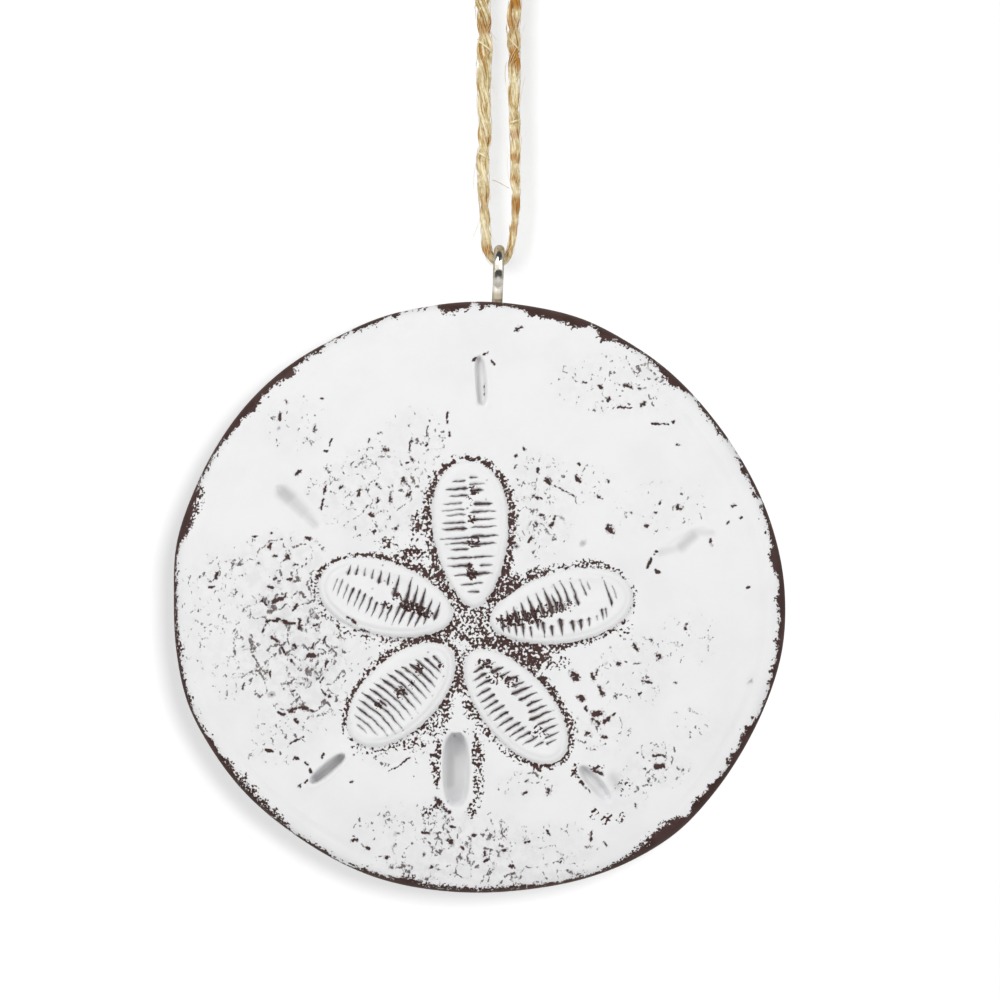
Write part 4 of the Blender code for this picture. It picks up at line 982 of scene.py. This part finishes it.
def paint_material(settings):
    """White paint over the brown casting, worn off where the disc's own layers say, and greyed by a veil
    that is partly thin paint and partly painted shade in the grooves, creases and slots.
    """
    material, build, shader = new_material("worn_paint")
    link = build.tree.links.new
    place = build.place()
    speck = build.noise(place, SPECK_SCALE, 1.0, 0.5)
    grain = build.noise(place, GRAIN_SCALE, 2.0, 0.55, 0.3)
    ragged = build.noise(place, RAGGED_SCALE, 4.0, 0.62)
    patches = threshold_group()

    def patch(density, pattern, softness):
        node = build.add("Group", node_tree=patches)
        node.inputs["Softness"].default_value = softness
        link(density, node.inputs["Density"])
        link(pattern, node.inputs["Pattern"])
        return node.outputs["Mask"]

    shake = build.swing(ragged, 2.2)
    fine = build.swing(grain, 1.2)
    beads = build.swing(speck, 2.8)

    cut = build.math("ADD", build.attribute("grooved"), build.scaled(fine, 0.9))
    beside_cut = build.ramp(build.attribute("grooved"), *BESIDE)
    cut_core = build.scaled(build.ramp(cut, *CUT_BARE), 0.94)
    # Painted shade beside the grooves, with the paint thinning there too
    cut_thin_and_shade = build.math("MULTIPLY", build.ramp(cut, *CUT_THIN_AND_SHADE), beside_cut)

    chip = build.math("ADD", build.attribute("marks"), build.math("ADD", shake, beads))
    beside_chip = build.ramp(build.attribute("marks"), *BESIDE)
    chip_core = build.math("MULTIPLY", build.ramp(chip, *CHIP_BARE), beside_chip)
    chip_thin = build.math("MULTIPLY", build.ramp(chip, *CHIP_THIN), beside_chip)

    lumps = build.math("ADD", build.scaled(shake, 2.4), build.scaled(fine, 2.4))
    lumps = build.math("ADD", lumps, build.scaled(beads, 0.7))
    edge_mask = build.ramp(build.math("ADD", build.attribute("edge"), lumps), *EDGE_BARE)

    salt = build.math("ADD", build.scaled(speck, 0.62), build.scaled(ragged, 0.38))
    stipple_mask = patch(build.attribute("stipple"), salt, 0.03)

    broad = build.noise(place, CHAIN_SCALE, 1.0, 0.5, 0.4)
    chain = build.ramp(build.math("ABSOLUTE", build.math("SUBTRACT", broad, 0.5)), 0.07, 0.0)
    flecks = build.attribute("flecks")
    many = build.math("MULTIPLY", flecks, build.math("MULTIPLY_ADD", chain, 1.5, 0.15))
    pores = build.noise(build.place((1.0, 1.0, 0.8), 0.3), PORE_SCALE, 2.0, 0.55, 0.6)
    pores = build.math("ADD", build.scaled(pores, 0.8), build.scaled(speck, 0.2))
    fleck_mask = build.scaled(patch(many, pores, 0.055), 0.84)
    fleck_thin = patch(build.scaled(many, 1.7), pores, 0.05)

    bare = build.most(cut_core, edge_mask, chip_core, stipple_mask, fleck_mask)
    # Thin paint and painted shade, mixed into the white as one grey veil
    thin_paint_and_shade = build.most(
        build.scaled(cut_thin_and_shade, 0.55), build.scaled(chip_thin, 0.4), build.scaled(fleck_thin, 0.28),
        build.attribute("painted_shade"),
    )
    haze = build.math("MULTIPLY", flecks, build.ramp(ragged, 0.4, 0.6, 0.1, 0.55))
    thin_paint_and_shade = build.math("ADD", thin_paint_and_shade, haze)

    tone = build.noise(place, 0.35, 3.0, 0.6)
    brown = build.mix(build.ramp(tone, 0.35, 0.7), tuple(settings.base), WARM_BASE)
    cloud = build.noise(place, 0.16, 3.0, 0.55)
    white = build.mix(build.ramp(cloud, 0.35, 0.7), tuple(settings.paint), COOL_PAINT)
    white = build.mix(thin_paint_and_shade, white, THIN_PAINT_AND_SHADE_COLOUR)
    link(build.mix(bare, white, brown), shader.inputs["Base Color"])
    link(build.ramp(bare, 0.0, 1.0, 0.62, 0.55), shader.inputs["Roughness"])
    shader.inputs["Specular IOR Level"].default_value = 0.2

    tooth = build.scaled(build.noise(place, TOOTH_SCALE, 3.0, 0.6), 0.35)
    height = build.math("SUBTRACT", tooth, bare)
    bump = build.add("Bump", {"Height": height, "Distance": settings.film, "Strength": 0.8})
    link(bump.outputs["Normal"], shader.inputs["Normal"])
    return material


def jute_material(settings):
    """Fibre bundles with long and short streaks along them, golden where their marks say."""
    material, build, shader = new_material("twine_fibres")
    link = build.tree.links.new
    strand = build.add("SeparateXYZ", {"Vector": build.attribute("strand", "Vector")}).outputs
    along, number, gold = strand["X"], strand["Y"], strand["Z"]

    def streaks(stretch, seed, detail):
        vector = build.add(
            "CombineXYZ", {"X": build.scaled(along, stretch), "Y": number, "Z": seed},
        ).outputs["Vector"]
        return build.noise(vector, 1.0, detail, 0.6)

    long_streak = streaks(0.3, 1.0, 2.0)
    short_streak = streaks(1.3, 5.0, 3.0)
    level = build.math("ADD", build.scaled(long_streak, 0.62), build.scaled(short_streak, 0.38))
    pale = build.mix(build.ramp(level, 0.405, 0.585), tuple(settings.tan), tuple(settings.pale))
    golden = build.math("ADD", gold, build.ramp(long_streak, 0.44, 0.32, 0.0, 0.7), clamp=True)
    link(build.mix(build.scaled(golden, 0.97), pale, tuple(settings.gold)), shader.inputs["Base Color"])
    link(build.ramp(short_streak, 0.3, 0.7, 0.45, 0.7), shader.inputs["Roughness"])
    shader.inputs["Specular IOR Level"].default_value = 0.4
    bump = build.add("Bump", {"Height": short_streak, "Distance": 0.00005, "Strength": 0.6})
    link(bump.outputs["Normal"], shader.inputs["Normal"])
    return material


def nickel_material(settings):
    """Bright plated wire, duller and browner down its neck, with a painted reflection in a light colour on
    the lower ring and neck, and darker at its foot.
    """
    material, build, shader = new_material("bright_wire")
    link = build.tree.links.new
    place = build.place()
    cloud = build.noise(place, 0.9, 4.0, 0.6)
    colour = build.mix(build.ramp(cloud, 0.45, 0.7), tuple(settings.metal), TARNISH)
    height = build.add("SeparateXYZ", {"Vector": place}).outputs["Z"]

    def below(start, end, low=0.0, high=1.0):
        return build.ramp(height, NECK_HEIGHT - start, NECK_HEIGHT - end, low, high)

    # Painted reflection on the lower ring and neck
    colour = build.mix(below(-0.4, 0.2), colour, NECK_PAINTED_REFLECTION)
    colour = build.mix(below(1.0, 1.9), colour, SHANK_METAL)
    # Darker at the foot, where the wire goes into the disc
    foot_dark = build.math("MULTIPLY", below(2.34, 2.5), build.ramp(cloud, 0.45, 0.6, 0.1, 0.9))
    link(build.mix(foot_dark, colour, FOOT_METAL), shader.inputs["Base Color"])
    worn = below(-0.8, 0.0, 0.0, 0.28)
    link(build.math("ADD", build.ramp(cloud, 0.3, 0.75, 0.12, 0.32), worn), shader.inputs["Roughness"])
    link(below(-0.5, 0.1, 1.0, 0.3), shader.inputs["Metallic"])
    bump = build.add("Bump", {"Height": build.noise(place, 3.0, 2.0), "Distance": 0.00002, "Strength": 0.5})
    link(bump.outputs["Normal"], shader.inputs["Normal"])
    return material


def get_material(name, make, settings):
    return bpy.data.materials.get(name) or make(settings)


def smooth_route(points, samples):
    """A smooth open line through points."""
    points = [np.array(point, dtype=float) for point in points]
    ends = [2.0 * points[0] - points[1], *points, 2.0 * points[-1] - points[-2]]
    route = []
    for index in range(1, len(ends) - 2):
        for step in range(samples):
            route.append(smooth_between(*ends[index - 1:index + 3], step / samples))
    return np.array([*route, points[-1]])


def even_route(points, step):
    """The same line in equal steps, with the distance along it."""
    points = np.asarray(points)
    lengths = np.concatenate(([0.0], np.cumsum(np.linalg.norm(np.diff(points, axis=0), axis=1))))
    count = max(2, round(lengths[-1] / step) + 1)
    places = np.linspace(0.0, lengths[-1], count)
    return np.stack([np.interp(places, lengths, axis) for axis in points.T], axis=1), places


def route_frames(points):
    """Two directions square to the line at each point, carried along it without turning."""
    tangents = np.gradient(points, axis=0)
    tangents /= np.linalg.norm(tangents, axis=1)[:, None]
    start = np.cross(tangents[0], (0.0, 1.0, 0.0))
    normals = [start / np.linalg.norm(start)]
    for tangent in tangents[1:]:
        normal = normals[-1] - tangent * (normals[-1] @ tangent)
        normals.append(normal / np.linalg.norm(normal))
    normals = np.array(normals)
    return normals, np.cross(tangents, normals)


def slow_wave(places, size, seed):
    return np.array([noise.noise(Vector((place / size, seed, 0.0))) for place in places])


def gold_at(points):
    amount = np.zeros(len(points))
    for across, up, reach, strength in GOLD_PATCHES:
        gap = np.hypot(points[:, 0] - across, points[:, 2] - up) / reach
        amount = np.maximum(amount, strength * (1.0 - smooth_step(0.4, 1.2, gap)))
    return amount


def twist_strands(route, widths, seed, radius, fray=0.0):
    """Two plies of fibre bundles laid round a route: points, radii and marks of each bundle."""
    rng = np.random.default_rng(seed)
    points, places = route
    normals, sides = route_frames(points)
    opening = smooth_step(0.55, 1.0, places / places[-1]) * fray
    tubes = []
    for ply in range(PLIES):
        lay = -math.tau * (places / LAY_LENGTH + ply / PLIES) + 0.5 * slow_wave(places, 7.0, seed + 0.3)
        uneven = 1.0 + 0.08 * slow_wave(places, 4.0, seed + 9 + ply)
        offset = (PLY_OFFSET + 0.2 * opening) * widths * uneven
        centre = points + (np.cos(lay) * offset)[:, None] * normals + (np.sin(lay) * offset)[:, None] * sides
        thickness = PLY_RADIUS * widths * (1.0 + 0.1 * slow_wave(places, 3.1, seed + 20 + ply))
        tone = 0.5 + 0.9 * slow_wave(places, 3.4, seed + 40.0 + 7.7 * ply)
        # The core bundle is marked dark golden; seen through the gaps between bundles it is painted shade
        dark_core_mark = np.stack([places, np.full(len(places), 0.3 + ply), np.maximum(gold_at(centre), 0.8)], axis=1)
        tubes.append((centre, thickness - 1.2 * radius, dark_core_mark))
        for number in range(STRANDS_PER_PLY):
            key = seed * 7.3 + ply * 31.7 + number * 2.17
            turn = math.tau * (number / STRANDS_PER_PLY - places / STRAND_LAY)
            turn = turn + 0.5 * slow_wave(places, 4.0, key) + rng.uniform(-0.2, 0.2)
            reach = thickness - radius + 0.1 * slow_wave(places, 2.2, key + 0.5) + rng.uniform(-0.06, 0.06)
            reach = reach + 1.5 * radius * opening * (1.0 + slow_wave(places, 1.5, key + 0.7))
            line = centre + (np.cos(turn) * reach)[:, None] * normals
            line = line + (np.sin(turn) * reach)[:, None] * sides
            size = radius * rng.uniform(0.7, 1.3) * (1.0 + 0.35 * slow_wave(places, 1.6, key + 0.9))
            golden = np.clip(gold_at(centre) + 0.35 * np.clip(tone - 0.55, 0.0, 1.0), 0.0, 1.0)
            label = np.full(len(places), number * 3.7 + ply * 53.0)
            mark = np.stack([places + number * 17.0, label, golden], axis=1)
            tubes.append((line, size, mark))
    return tubes


def loose_fibres(route, widths, seed, count, reach, radius):
    """Fine hairs that leave the twine, lean along it and stand off by up to reach."""
    rng = np.random.default_rng(seed)
    points, places = route
    normals, sides = route_frames(points)
    steps = np.linspace(0.0, 1.0, FIBRE_POINTS)
    tubes = []
    for number in range(count):
        start = rng.uniform(0.02, 0.9) * places[-1]
        length = rng.uniform(2.0, 6.0) if reach > 0.5 else rng.uniform(1.5, 5.0)
        spots = np.linspace(start, min(start + length, places[-1]), FIBRE_POINTS)
        centre, across, depth = (
            np.stack([np.interp(spots, places, axis) for axis in lines.T], axis=1)
            for lines in (points, normals, sides)
        )
        turn = rng.uniform(0.0, math.tau) + np.linspace(0.0, rng.uniform(-1.6, 2.6), FIBRE_POINTS)
        lift = steps ** rng.uniform(1.0, 2.2) * rng.uniform(0.25, 1.0) * reach
        distance = np.interp(spots, places, widths) * 0.46 + lift
        line = centre + (np.cos(turn) * distance)[:, None] * across
        line = line + (np.sin(turn) * distance)[:, None] * depth
        if rng.random() < 0.5:
            line = line[::-1]
        size = radius * rng.uniform(0.7, 1.3) * np.array((0.8, 1.0, 1.0, 1.0, 0.9, 0.8, 0.5))
        mark = np.stack([spots, np.full(FIBRE_POINTS, number * 1.3 + 200.0), np.zeros(FIBRE_POINTS)], axis=1)
        tubes.append((line, size, mark))
    return tubes


def crossing_fibres(route, widths):
    """The bundles that cross the front of a strand, and the stray hair."""
    points, _ = route
    tubes = []
    share = np.linspace(-0.5, 0.5, WRAP_STEPS)
    for side, height, rise, radius in WRAPS:
        gaps = np.where(points[:, 0] * side > 0.0, np.abs(points[:, 2] - height), np.inf)
        nearest = int(gaps.argmin())
        reach = WRAP_REACH * widths[nearest]
        turns = share * math.radians(WRAP_TURN)
        across = points[nearest, 0] + reach * np.sin(turns)
        line = np.stack([across, -reach * np.cos(turns), height + rise * share], axis=1)
        mark = np.stack([share + height, np.full(WRAP_STEPS, 300.0 + height), np.zeros(WRAP_STEPS)], axis=1)
        tubes.append((line, radius * (1.0 - 1.6 * share**2), mark))
    hair = smooth_route([(across, -0.5, up) for across, up in STRAY_HAIR], 3)
    mark = np.stack([hair[:, 0], np.full(len(hair), 400.0), np.full(len(hair), HAIR_GOLD)], axis=1)
    tubes.append((hair, np.full(len(hair), HAIR_RADIUS), mark))
    return tubes


def tubes_mesh(name, lines, resolution):
    """A mesh of closed round tubes, each along its own points with its own radii."""
    curve = bpy.data.curves.new(f"{name}_lines", "CURVE")
    curve.dimensions = "3D"
    curve.bevel_depth = MM
    curve.bevel_resolution = resolution
    for points, radii in lines:
        spline = curve.splines.new("POLY")
        spline.points.add(len(points) - 1)
        flat = np.ones((len(points), 4))
        flat[:, :3] = points * MM
        spline.points.foreach_set("co", flat.ravel())
        spline.points.foreach_set("radius", np.ascontiguousarray(radii, dtype=float))
    guide = place_object(f"{name}_lines", curve)
    graph = bpy.context.evaluated_depsgraph_get()
    mesh = bpy.data.meshes.new_from_object(guide.evaluated_get(graph))
    bpy.data.objects.remove(guide, do_unlink=True)
    bpy.data.curves.remove(curve)
    bm = bmesh.new()
    bm.from_mesh(mesh)
    bmesh.ops.holes_fill(bm, edges=[edge for edge in bm.edges if edge.is_boundary])
    bmesh.ops.recalc_face_normals(bm, faces=bm.faces)
    bm.to_mesh(mesh)
    bm.free()
    mesh.name = name
    mesh.shade_smooth()
    mesh.set_sharp_from_angle(angle=math.radians(60.0))
    mesh.materials.clear()
    return mesh


def strands_object(name, tubes, material):
    """An object of tubes that carry their marks."""
    mesh = tubes_mesh(name, [(points, radii) for points, radii, _ in tubes], 1)
    marks = np.concatenate([mark for _, _, mark in tubes])
    sides, rest = divmod(len(mesh.vertices), len(marks))
    if rest:
        raise RuntimeError(f"{name}: {len(mesh.vertices)} points on {len(marks)} rings")
    layer = mesh.attributes.new("strand", "FLOAT_VECTOR", "POINT")
    layer.data.foreach_set("vector", np.repeat(marks, sides, axis=0).ravel())
    return place_object(name, mesh, material)


def twine_route():
    """The twine's line, down the left strand, round through the eye and up the right strand."""
    left = [(across, 0.0, up) for up, across, _ in TWINE_ROWS]
    right = [(across, 0.0, up) for up, _, across in TWINE_ROWS]
    return smooth_route([*left, (TWINE_LOWEST[0], 0.0, TWINE_LOWEST[1]), *reversed(right)], 4)


def twine_widths(points):
    heights, left, right = np.array(TWINE_WIDTHS[::-1]).T
    share = smooth_step(-0.8, 0.8, points[:, 0])
    left, right = (np.interp(points[:, 2], heights, widths) for widths in (left, right))
    return left * (1.0 - share) + right * share


def eye_matrix():
    """From the eye's own plane, with its ring centred at the origin, to its place."""
    lean = Matrix.Rotation(math.radians(EYE_LEAN), 4, "Y")
    top = RING_RADIUS + WIRE_RADIUS
    centre = Vector((EYE_TOP[0], 0.0, EYE_TOP[1])) - lean @ Vector((0.0, 0.0, top))
    return Matrix.Translation(centre) @ lean


def eye_route():
    """The wire's line, up the shank and round the ring: place across, height, share of the wire's radius."""
    neck = -RING_RADIUS - WIRE_RADIUS - NECK_DROP
    tip = neck - SHANK_DEPTH
    points = [(0.0, tip, TIP_SCALE), (0.0, tip + TIP_LENGTH, 1.0), (0.0, neck, 1.0)]
    start = math.radians(RING_START)
    ring = (RING_RADIUS * math.cos(start), RING_RADIUS * math.sin(start))
    corner = RING_RADIUS / math.sin(start)
    for step in range(1, BEND_STEPS):
        share = step / BEND_STEPS
        up = (1.0 - share) ** 2 * neck + 2.0 * share * (1.0 - share) * corner + share**2 * ring[1]
        points.append((share**2 * ring[0], up, 1.0))
    for step in range(round((RING_END - RING_START) / RING_STEP) + 1):
        angle = math.radians(RING_START + RING_STEP * step)
        points.append((RING_RADIUS * math.cos(angle), RING_RADIUS * math.sin(angle), 1.0))
    return points


def stage_material(name, colour, glow=0.0):
    """A matt material; with a glow it is clear from behind and seen by the camera alone."""
    material, build, shader = new_material(name)
    shader.inputs["Base Color"].default_value = (*colour, 1.0)
    shader.inputs["Roughness"].default_value = 1.0
    shader.inputs["Specular IOR Level"].default_value = 0.0
    if glow:
        shader.inputs["Emission Color"].default_value = (1.0, 1.0, 1.0, 1.0)
        shader.inputs["Emission Strength"].default_value = glow
        clear = build.add("BsdfTransparent").outputs[0]
        behind = build.add("NewGeometry").outputs["Backfacing"]
        mixed = build.add("MixShader", {"Fac": behind, 1: shader.outputs[0], 2: clear})
        build.tree.links.new(mixed.outputs[0], build.tree.nodes["Material Output"].inputs["Surface"])
    return material


def add_light(name, setting, power, target):
    """An area light at a setting of place and size, aimed at a target."""
    place, size = setting
    light = bpy.data.lights.new(name, "AREA")
    light.energy = power
    light.size = size * MM
    item = place_object(name, light)
    item.location = Vector(place) * MM
    item.rotation_euler = (Vector(target) - Vector(place)).to_track_quat("-Z", "Y").to_euler()
    return item


def shadow_casters(name):
    """The collection of the pieces whose shadow one backdrop light throws."""
    return bpy.data.collections.get(name) or bpy.data.collections.new(name)


def add_sheet(name, centre, normal, size, material):
    bm = bmesh.new()
    bmesh.ops.create_grid(bm, x_segments=1, y_segments=1, size=size / 2.0 * MM)
    turn = Vector((0.0, 0.0, 1.0)).rotation_difference(Vector(normal)).to_matrix().to_4x4()
    bmesh.ops.transform(bm, matrix=Matrix.Translation(Vector(centre) * MM) @ turn, verts=bm.verts)
    mesh = bpy.data.meshes.new(name)
    bm.to_mesh(mesh)
    bm.free()
    return place_object(name, mesh, material)


def light_room(ambient):
    """An even pale room, white where the camera sees it, with darker bands for the wire to mirror."""
    world = bpy.data.worlds.new("room")
    bpy.context.scene.world = world
    world.use_nodes = True
    build = TreeBuilder(world.node_tree)
    build.tree.nodes.clear()
    path = build.add("LightPath").outputs
    seen = build.add("Background", {"Color": (1.0, 1.0, 1.0, 1.0), "Strength": 1.0}).outputs[0]
    soft = build.add("Background", {"Color": (1.0, 1.0, 1.0, 1.0), "Strength": ambient}).outputs[0]
    direction = build.add("SeparateXYZ", {"Vector": build.add("TexCoord").outputs["Generated"]}).outputs
    bands = build.add("ValToRGB", {"Fac": build.ramp(direction["Z"], -1.0, 1.0)})
    ramp = bands.color_ramp
    ramp.elements[0].position = ROOM_BANDS[0][0]
    ramp.elements[1].position = ROOM_BANDS[-1][0]
    for place, _ in ROOM_BANDS[1:-1]:
        ramp.elements.new(place)
    for element, (_, value) in zip(ramp.elements, ROOM_BANDS):
        element.color = (value, value, value, 1.0)
    far = build.ramp(direction["Y"], -0.1, 0.25)
    steep = build.ramp(build.math("ABSOLUTE", direction["Z"]), 0.3, 0.8)
    distant = build.mix(steep, FAR_ROOM_LEVEL, FAR_ROOM_STEEP)
    banded = build.mix(far, bands.outputs["Color"], distant)
    mirrored = build.add("Background", {"Color": banded, "Strength": 1.0}).outputs[0]
    lit = build.add("MixShader", {"Fac": path["Is Glossy Ray"], 1: soft, 2: mirrored}).outputs[0]
    final = build.add("MixShader", {"Fac": path["Is Camera Ray"], 1: lit, 2: seen}).outputs[0]
    output = build.add("OutputWorld")
    build.tree.links.new(final, output.inputs["Surface"])


class ORNAMENT_OT_stage(bpy.types.Operator):
    """Adds the camera, the soft lights, the backdrop and the floor"""

    bl_idname = "ornament.stage"
    bl_label = "Stage"

    def execute(self, context):
        settings = context.scene.ornament_stage
        middle = Vector((VIEW_CENTRE[0], 0.0, VIEW_CENTRE[1]))
        camera = bpy.data.cameras.new("camera")
        camera.sensor_width = SENSOR_WIDTH
        camera.lens = SENSOR_WIDTH * CAMERA_DISTANCE / VIEW_WIDTH
        camera.clip_start = 0.01
        item = place_object("camera", camera)
        item.location = (middle + Vector((0.0, -CAMERA_DISTANCE, 0.0))) * MM
        item.rotation_euler = (math.radians(90.0), 0.0, 0.0)
        context.scene.camera = item
        context.scene.view_settings.view_transform = "Standard"

        target = (DISC_CENTRE[0], 0.0, DISC_CENTRE[1])
        backdrop = add_sheet(
            "backdrop", (VIEW_CENTRE[0], BACKDROP_DEPTH, VIEW_CENTRE[1]), (0.0, -1.0, 0.0), BACKDROP_SIZE,
            stage_material("backdrop_paper", BACKDROP_COLOUR, BACKDROP_GLOW),
        )
        floor = add_sheet(
            "floor", (0.0, 0.0, FLOOR_HEIGHT), (0.0, 0.0, 1.0), FLOOR_SIZE,
            stage_material("pale_floor", FLOOR_COLOUR),
        )
        for ray in ("diffuse", "glossy", "transmission", "volume_scatter", "shadow"):
            setattr(backdrop, f"visible_{ray}", False)
        floor.visible_glossy = False

        key = add_light("key", KEY_LIGHT, settings.key, target)
        fill = add_light("fill", FILL_LIGHT, settings.fill, target)
        behind = add_light("behind", BACK_LIGHT, settings.fill * BACK_POWER, target)
        behind.visible_glossy = False
        receivers = bpy.data.collections.new("all_but_backdrop")
        receivers.objects.link(backdrop)
        receivers.collection_objects[0].light_linking.link_state = "EXCLUDE"
        for light in (key, fill, behind):
            light.light_linking.receiver_collection = receivers
        only = bpy.data.collections.new("backdrop_alone")
        only.objects.link(backdrop)
        for name, place, power, size in SHADOW_LIGHTS:
            light = add_light(name, (place, size), power, target)
            light.light_linking.receiver_collection = only
            light.light_linking.blocker_collection = shadow_casters(name)
        light_room(settings.ambient)
        return {"FINISHED"}


class ORNAMENT_OT_twine(bpy.types.Operator):
    """Lays the two-ply twine down to the eye, through it and back up to the knot"""

    bl_idname = "ornament.twine"
    bl_label = "Twine"

    def execute(self, context):
        settings = context.scene.ornament_twine
        material = get_material("twine_fibres", jute_material, settings)
        path = twine_route()
        route = even_route(path, TWINE_STEP)
        widths = twine_widths(route[0])
        tubes = twist_strands(route, widths, 3, settings.strand / MM)
        tubes += crossing_fibres(route, widths)
        tubes += loose_fibres(route, widths, 5, *LOOSE_FIBRES)
        tubes += loose_fibres(route, widths, 8, *STRAY_FIBRES)
        twine = strands_object("twine", tubes, material)
        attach(twine, BODY)
        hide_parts("twine_loop")
        shadow_casters("casts_right").objects.link(twine)
        return {"FINISHED"}


class ORNAMENT_OT_knot(bpy.types.Operator):
    """Ties the knot above the loop, with two frayed tails"""

    bl_idname = "ornament.knot"
    bl_label = "Knot"

    def execute(self, context):
        settings = context.scene.ornament_twine
        material = get_material("twine_fibres", jute_material, settings)
        radius = settings.strand / MM
        tubes = []
        for number, tail in enumerate(TAILS):
            across = (-KNOT_ENTRY, KNOT_ENTRY)[number]
            inner = ((across, 0.0, -0.3), (across * 0.8, 0.0, 0.9), (across * 0.45, 0.0, 2.2), *tail)
            route = even_route(smooth_route(inner, 6), TWINE_STEP)
            widths = np.full(len(route[0]), TAIL_WIDTH)
            tubes += twist_strands(route, widths, 31 + number, radius, TAIL_FRAY)
            tubes += loose_fibres(route, widths, 41 + number, 26, 0.4, 0.03)
        for number, tilt in enumerate(TURN_TILTS):
            turn = Matrix.Rotation(math.radians(tilt), 3, "Y")
            ring = []
            for step in range(TURN_STEPS + 2):
                angle = math.tau * step / TURN_STEPS + number * 1.3
                lift = (step / TURN_STEPS - 0.5) * TURN_RISE + TURN_LIFTS[number]
                place = turn @ Vector((TURN_RADIUS * math.cos(angle), TURN_RADIUS * math.sin(angle), 0.0))
                ring.append((place.x, place.y * TURN_FLATNESS, KNOT_HEIGHT + lift + place.z))
            route = even_route(smooth_route(ring, 2), TWINE_STEP)
            widths = np.full(len(route[0]), TURN_WIDTH)
            tubes += twist_strands(route, widths, 51 + number, radius)
            tubes += loose_fibres(route, widths, 61 + number, 16, 0.3, 0.03)
        knot = strands_object("knot", tubes, material)
        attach(knot, BODY)
        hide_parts("twine_knot")

        return {"FINISHED"}


class ORNAMENT_OT_disc(bpy.types.Operator):
    """Shapes the cast disc with its petals, grooves and slots, and paints it"""

    bl_idname = "ornament.disc"
    bl_label = "Disc"

    def execute(self, context):
        settings = context.scene.ornament_disc
        bm, front_count = disc_blank(settings.cells)
        bmesh.ops.recalc_face_normals(bm, faces=bm.faces)
        mesh = bpy.data.meshes.new("disc")
        bm.to_mesh(mesh)
        bm.free()
        places = np.empty(len(mesh.vertices) * 3)
        mesh.vertices.foreach_get("co", places)
        places = places.reshape(-1, 3)
        relief, layers = paint_disc(places[:, :2], places[:, 2], front_count)
        moved = np.stack([DISC_CENTRE[0] + places[:, 0], -relief, DISC_CENTRE[1] + places[:, 1]], axis=1)
        mesh.vertices.foreach_set("co", (moved * MM).ravel())
        for name, values in layers.items():
            layer = mesh.attributes.new(name, "FLOAT", "POINT")
            layer.data.foreach_set("value", np.ascontiguousarray(values, dtype=float))
        mesh.update()
        mesh.shade_smooth()
        disc = place_object("disc", mesh, paint_material(settings))
        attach(disc, BODY)
        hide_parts("sand_dollar")
        shadow_casters("casts_left").objects.link(disc)
        return {"FINISHED"}


class ORNAMENT_OT_eye(bpy.types.Operator):
    """Bends the wire of the screw eye and sets it in the disc's top edge"""

    bl_idname = "ornament.eye"
    bl_label = "Screw Eye"

    def execute(self, context):
        settings = context.scene.ornament_eye
        matrix = eye_matrix()
        route = np.array(eye_route())
        line = np.array([matrix @ Vector((0.0, across, up)) for across, up in route[:, :2]])
        mesh = tubes_mesh("eye", [(line, route[:, 2] * settings.wire / MM)], 8)
        eye = place_object("eye", mesh, nickel_material(settings))
        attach(eye, BODY)
        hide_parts("screw_eye")
        return {"FINISHED"}


class ORNAMENT_PT_panel(bpy.types.Panel):
    """Lists the steps that build the ornament"""

    bl_label = "Sand Dollar Ornament"
    bl_space_type = "VIEW_3D"
    bl_region_type = "UI"
    bl_category = "Ornament"

    def draw(self, context):
        for operator in OPERATORS:
            self.layout.operator(operator.bl_idname)
        for name, group in SETTINGS.items():
            box = self.layout.box()
            for field in group.__annotations__:
                box.prop(getattr(context.scene, name), field)


OPERATORS = (ORNAMENT_OT_stage, ORNAMENT_OT_twine, ORNAMENT_OT_knot, ORNAMENT_OT_disc, ORNAMENT_OT_eye)


def register():
    for item in (*SETTINGS.values(), *OPERATORS, ORNAMENT_PT_panel):
        bpy.utils.register_class(item)
    for name, group in SETTINGS.items():
        setattr(bpy.types.Scene, name, PointerProperty(type=group))


def unregister():
    for name in SETTINGS:
        delattr(bpy.types.Scene, name)
    for item in (ORNAMENT_PT_panel, *reversed(OPERATORS), *reversed(SETTINGS.values())):
        bpy.utils.unregister_class(item)


def main():
    register()
    bpy.ops.ornament.stage()
    bpy.ops.ornament.twine()
    bpy.ops.ornament.knot()
    bpy.ops.ornament.disc()
    bpy.ops.ornament.eye()


if __name__ == "__main__":
    main()
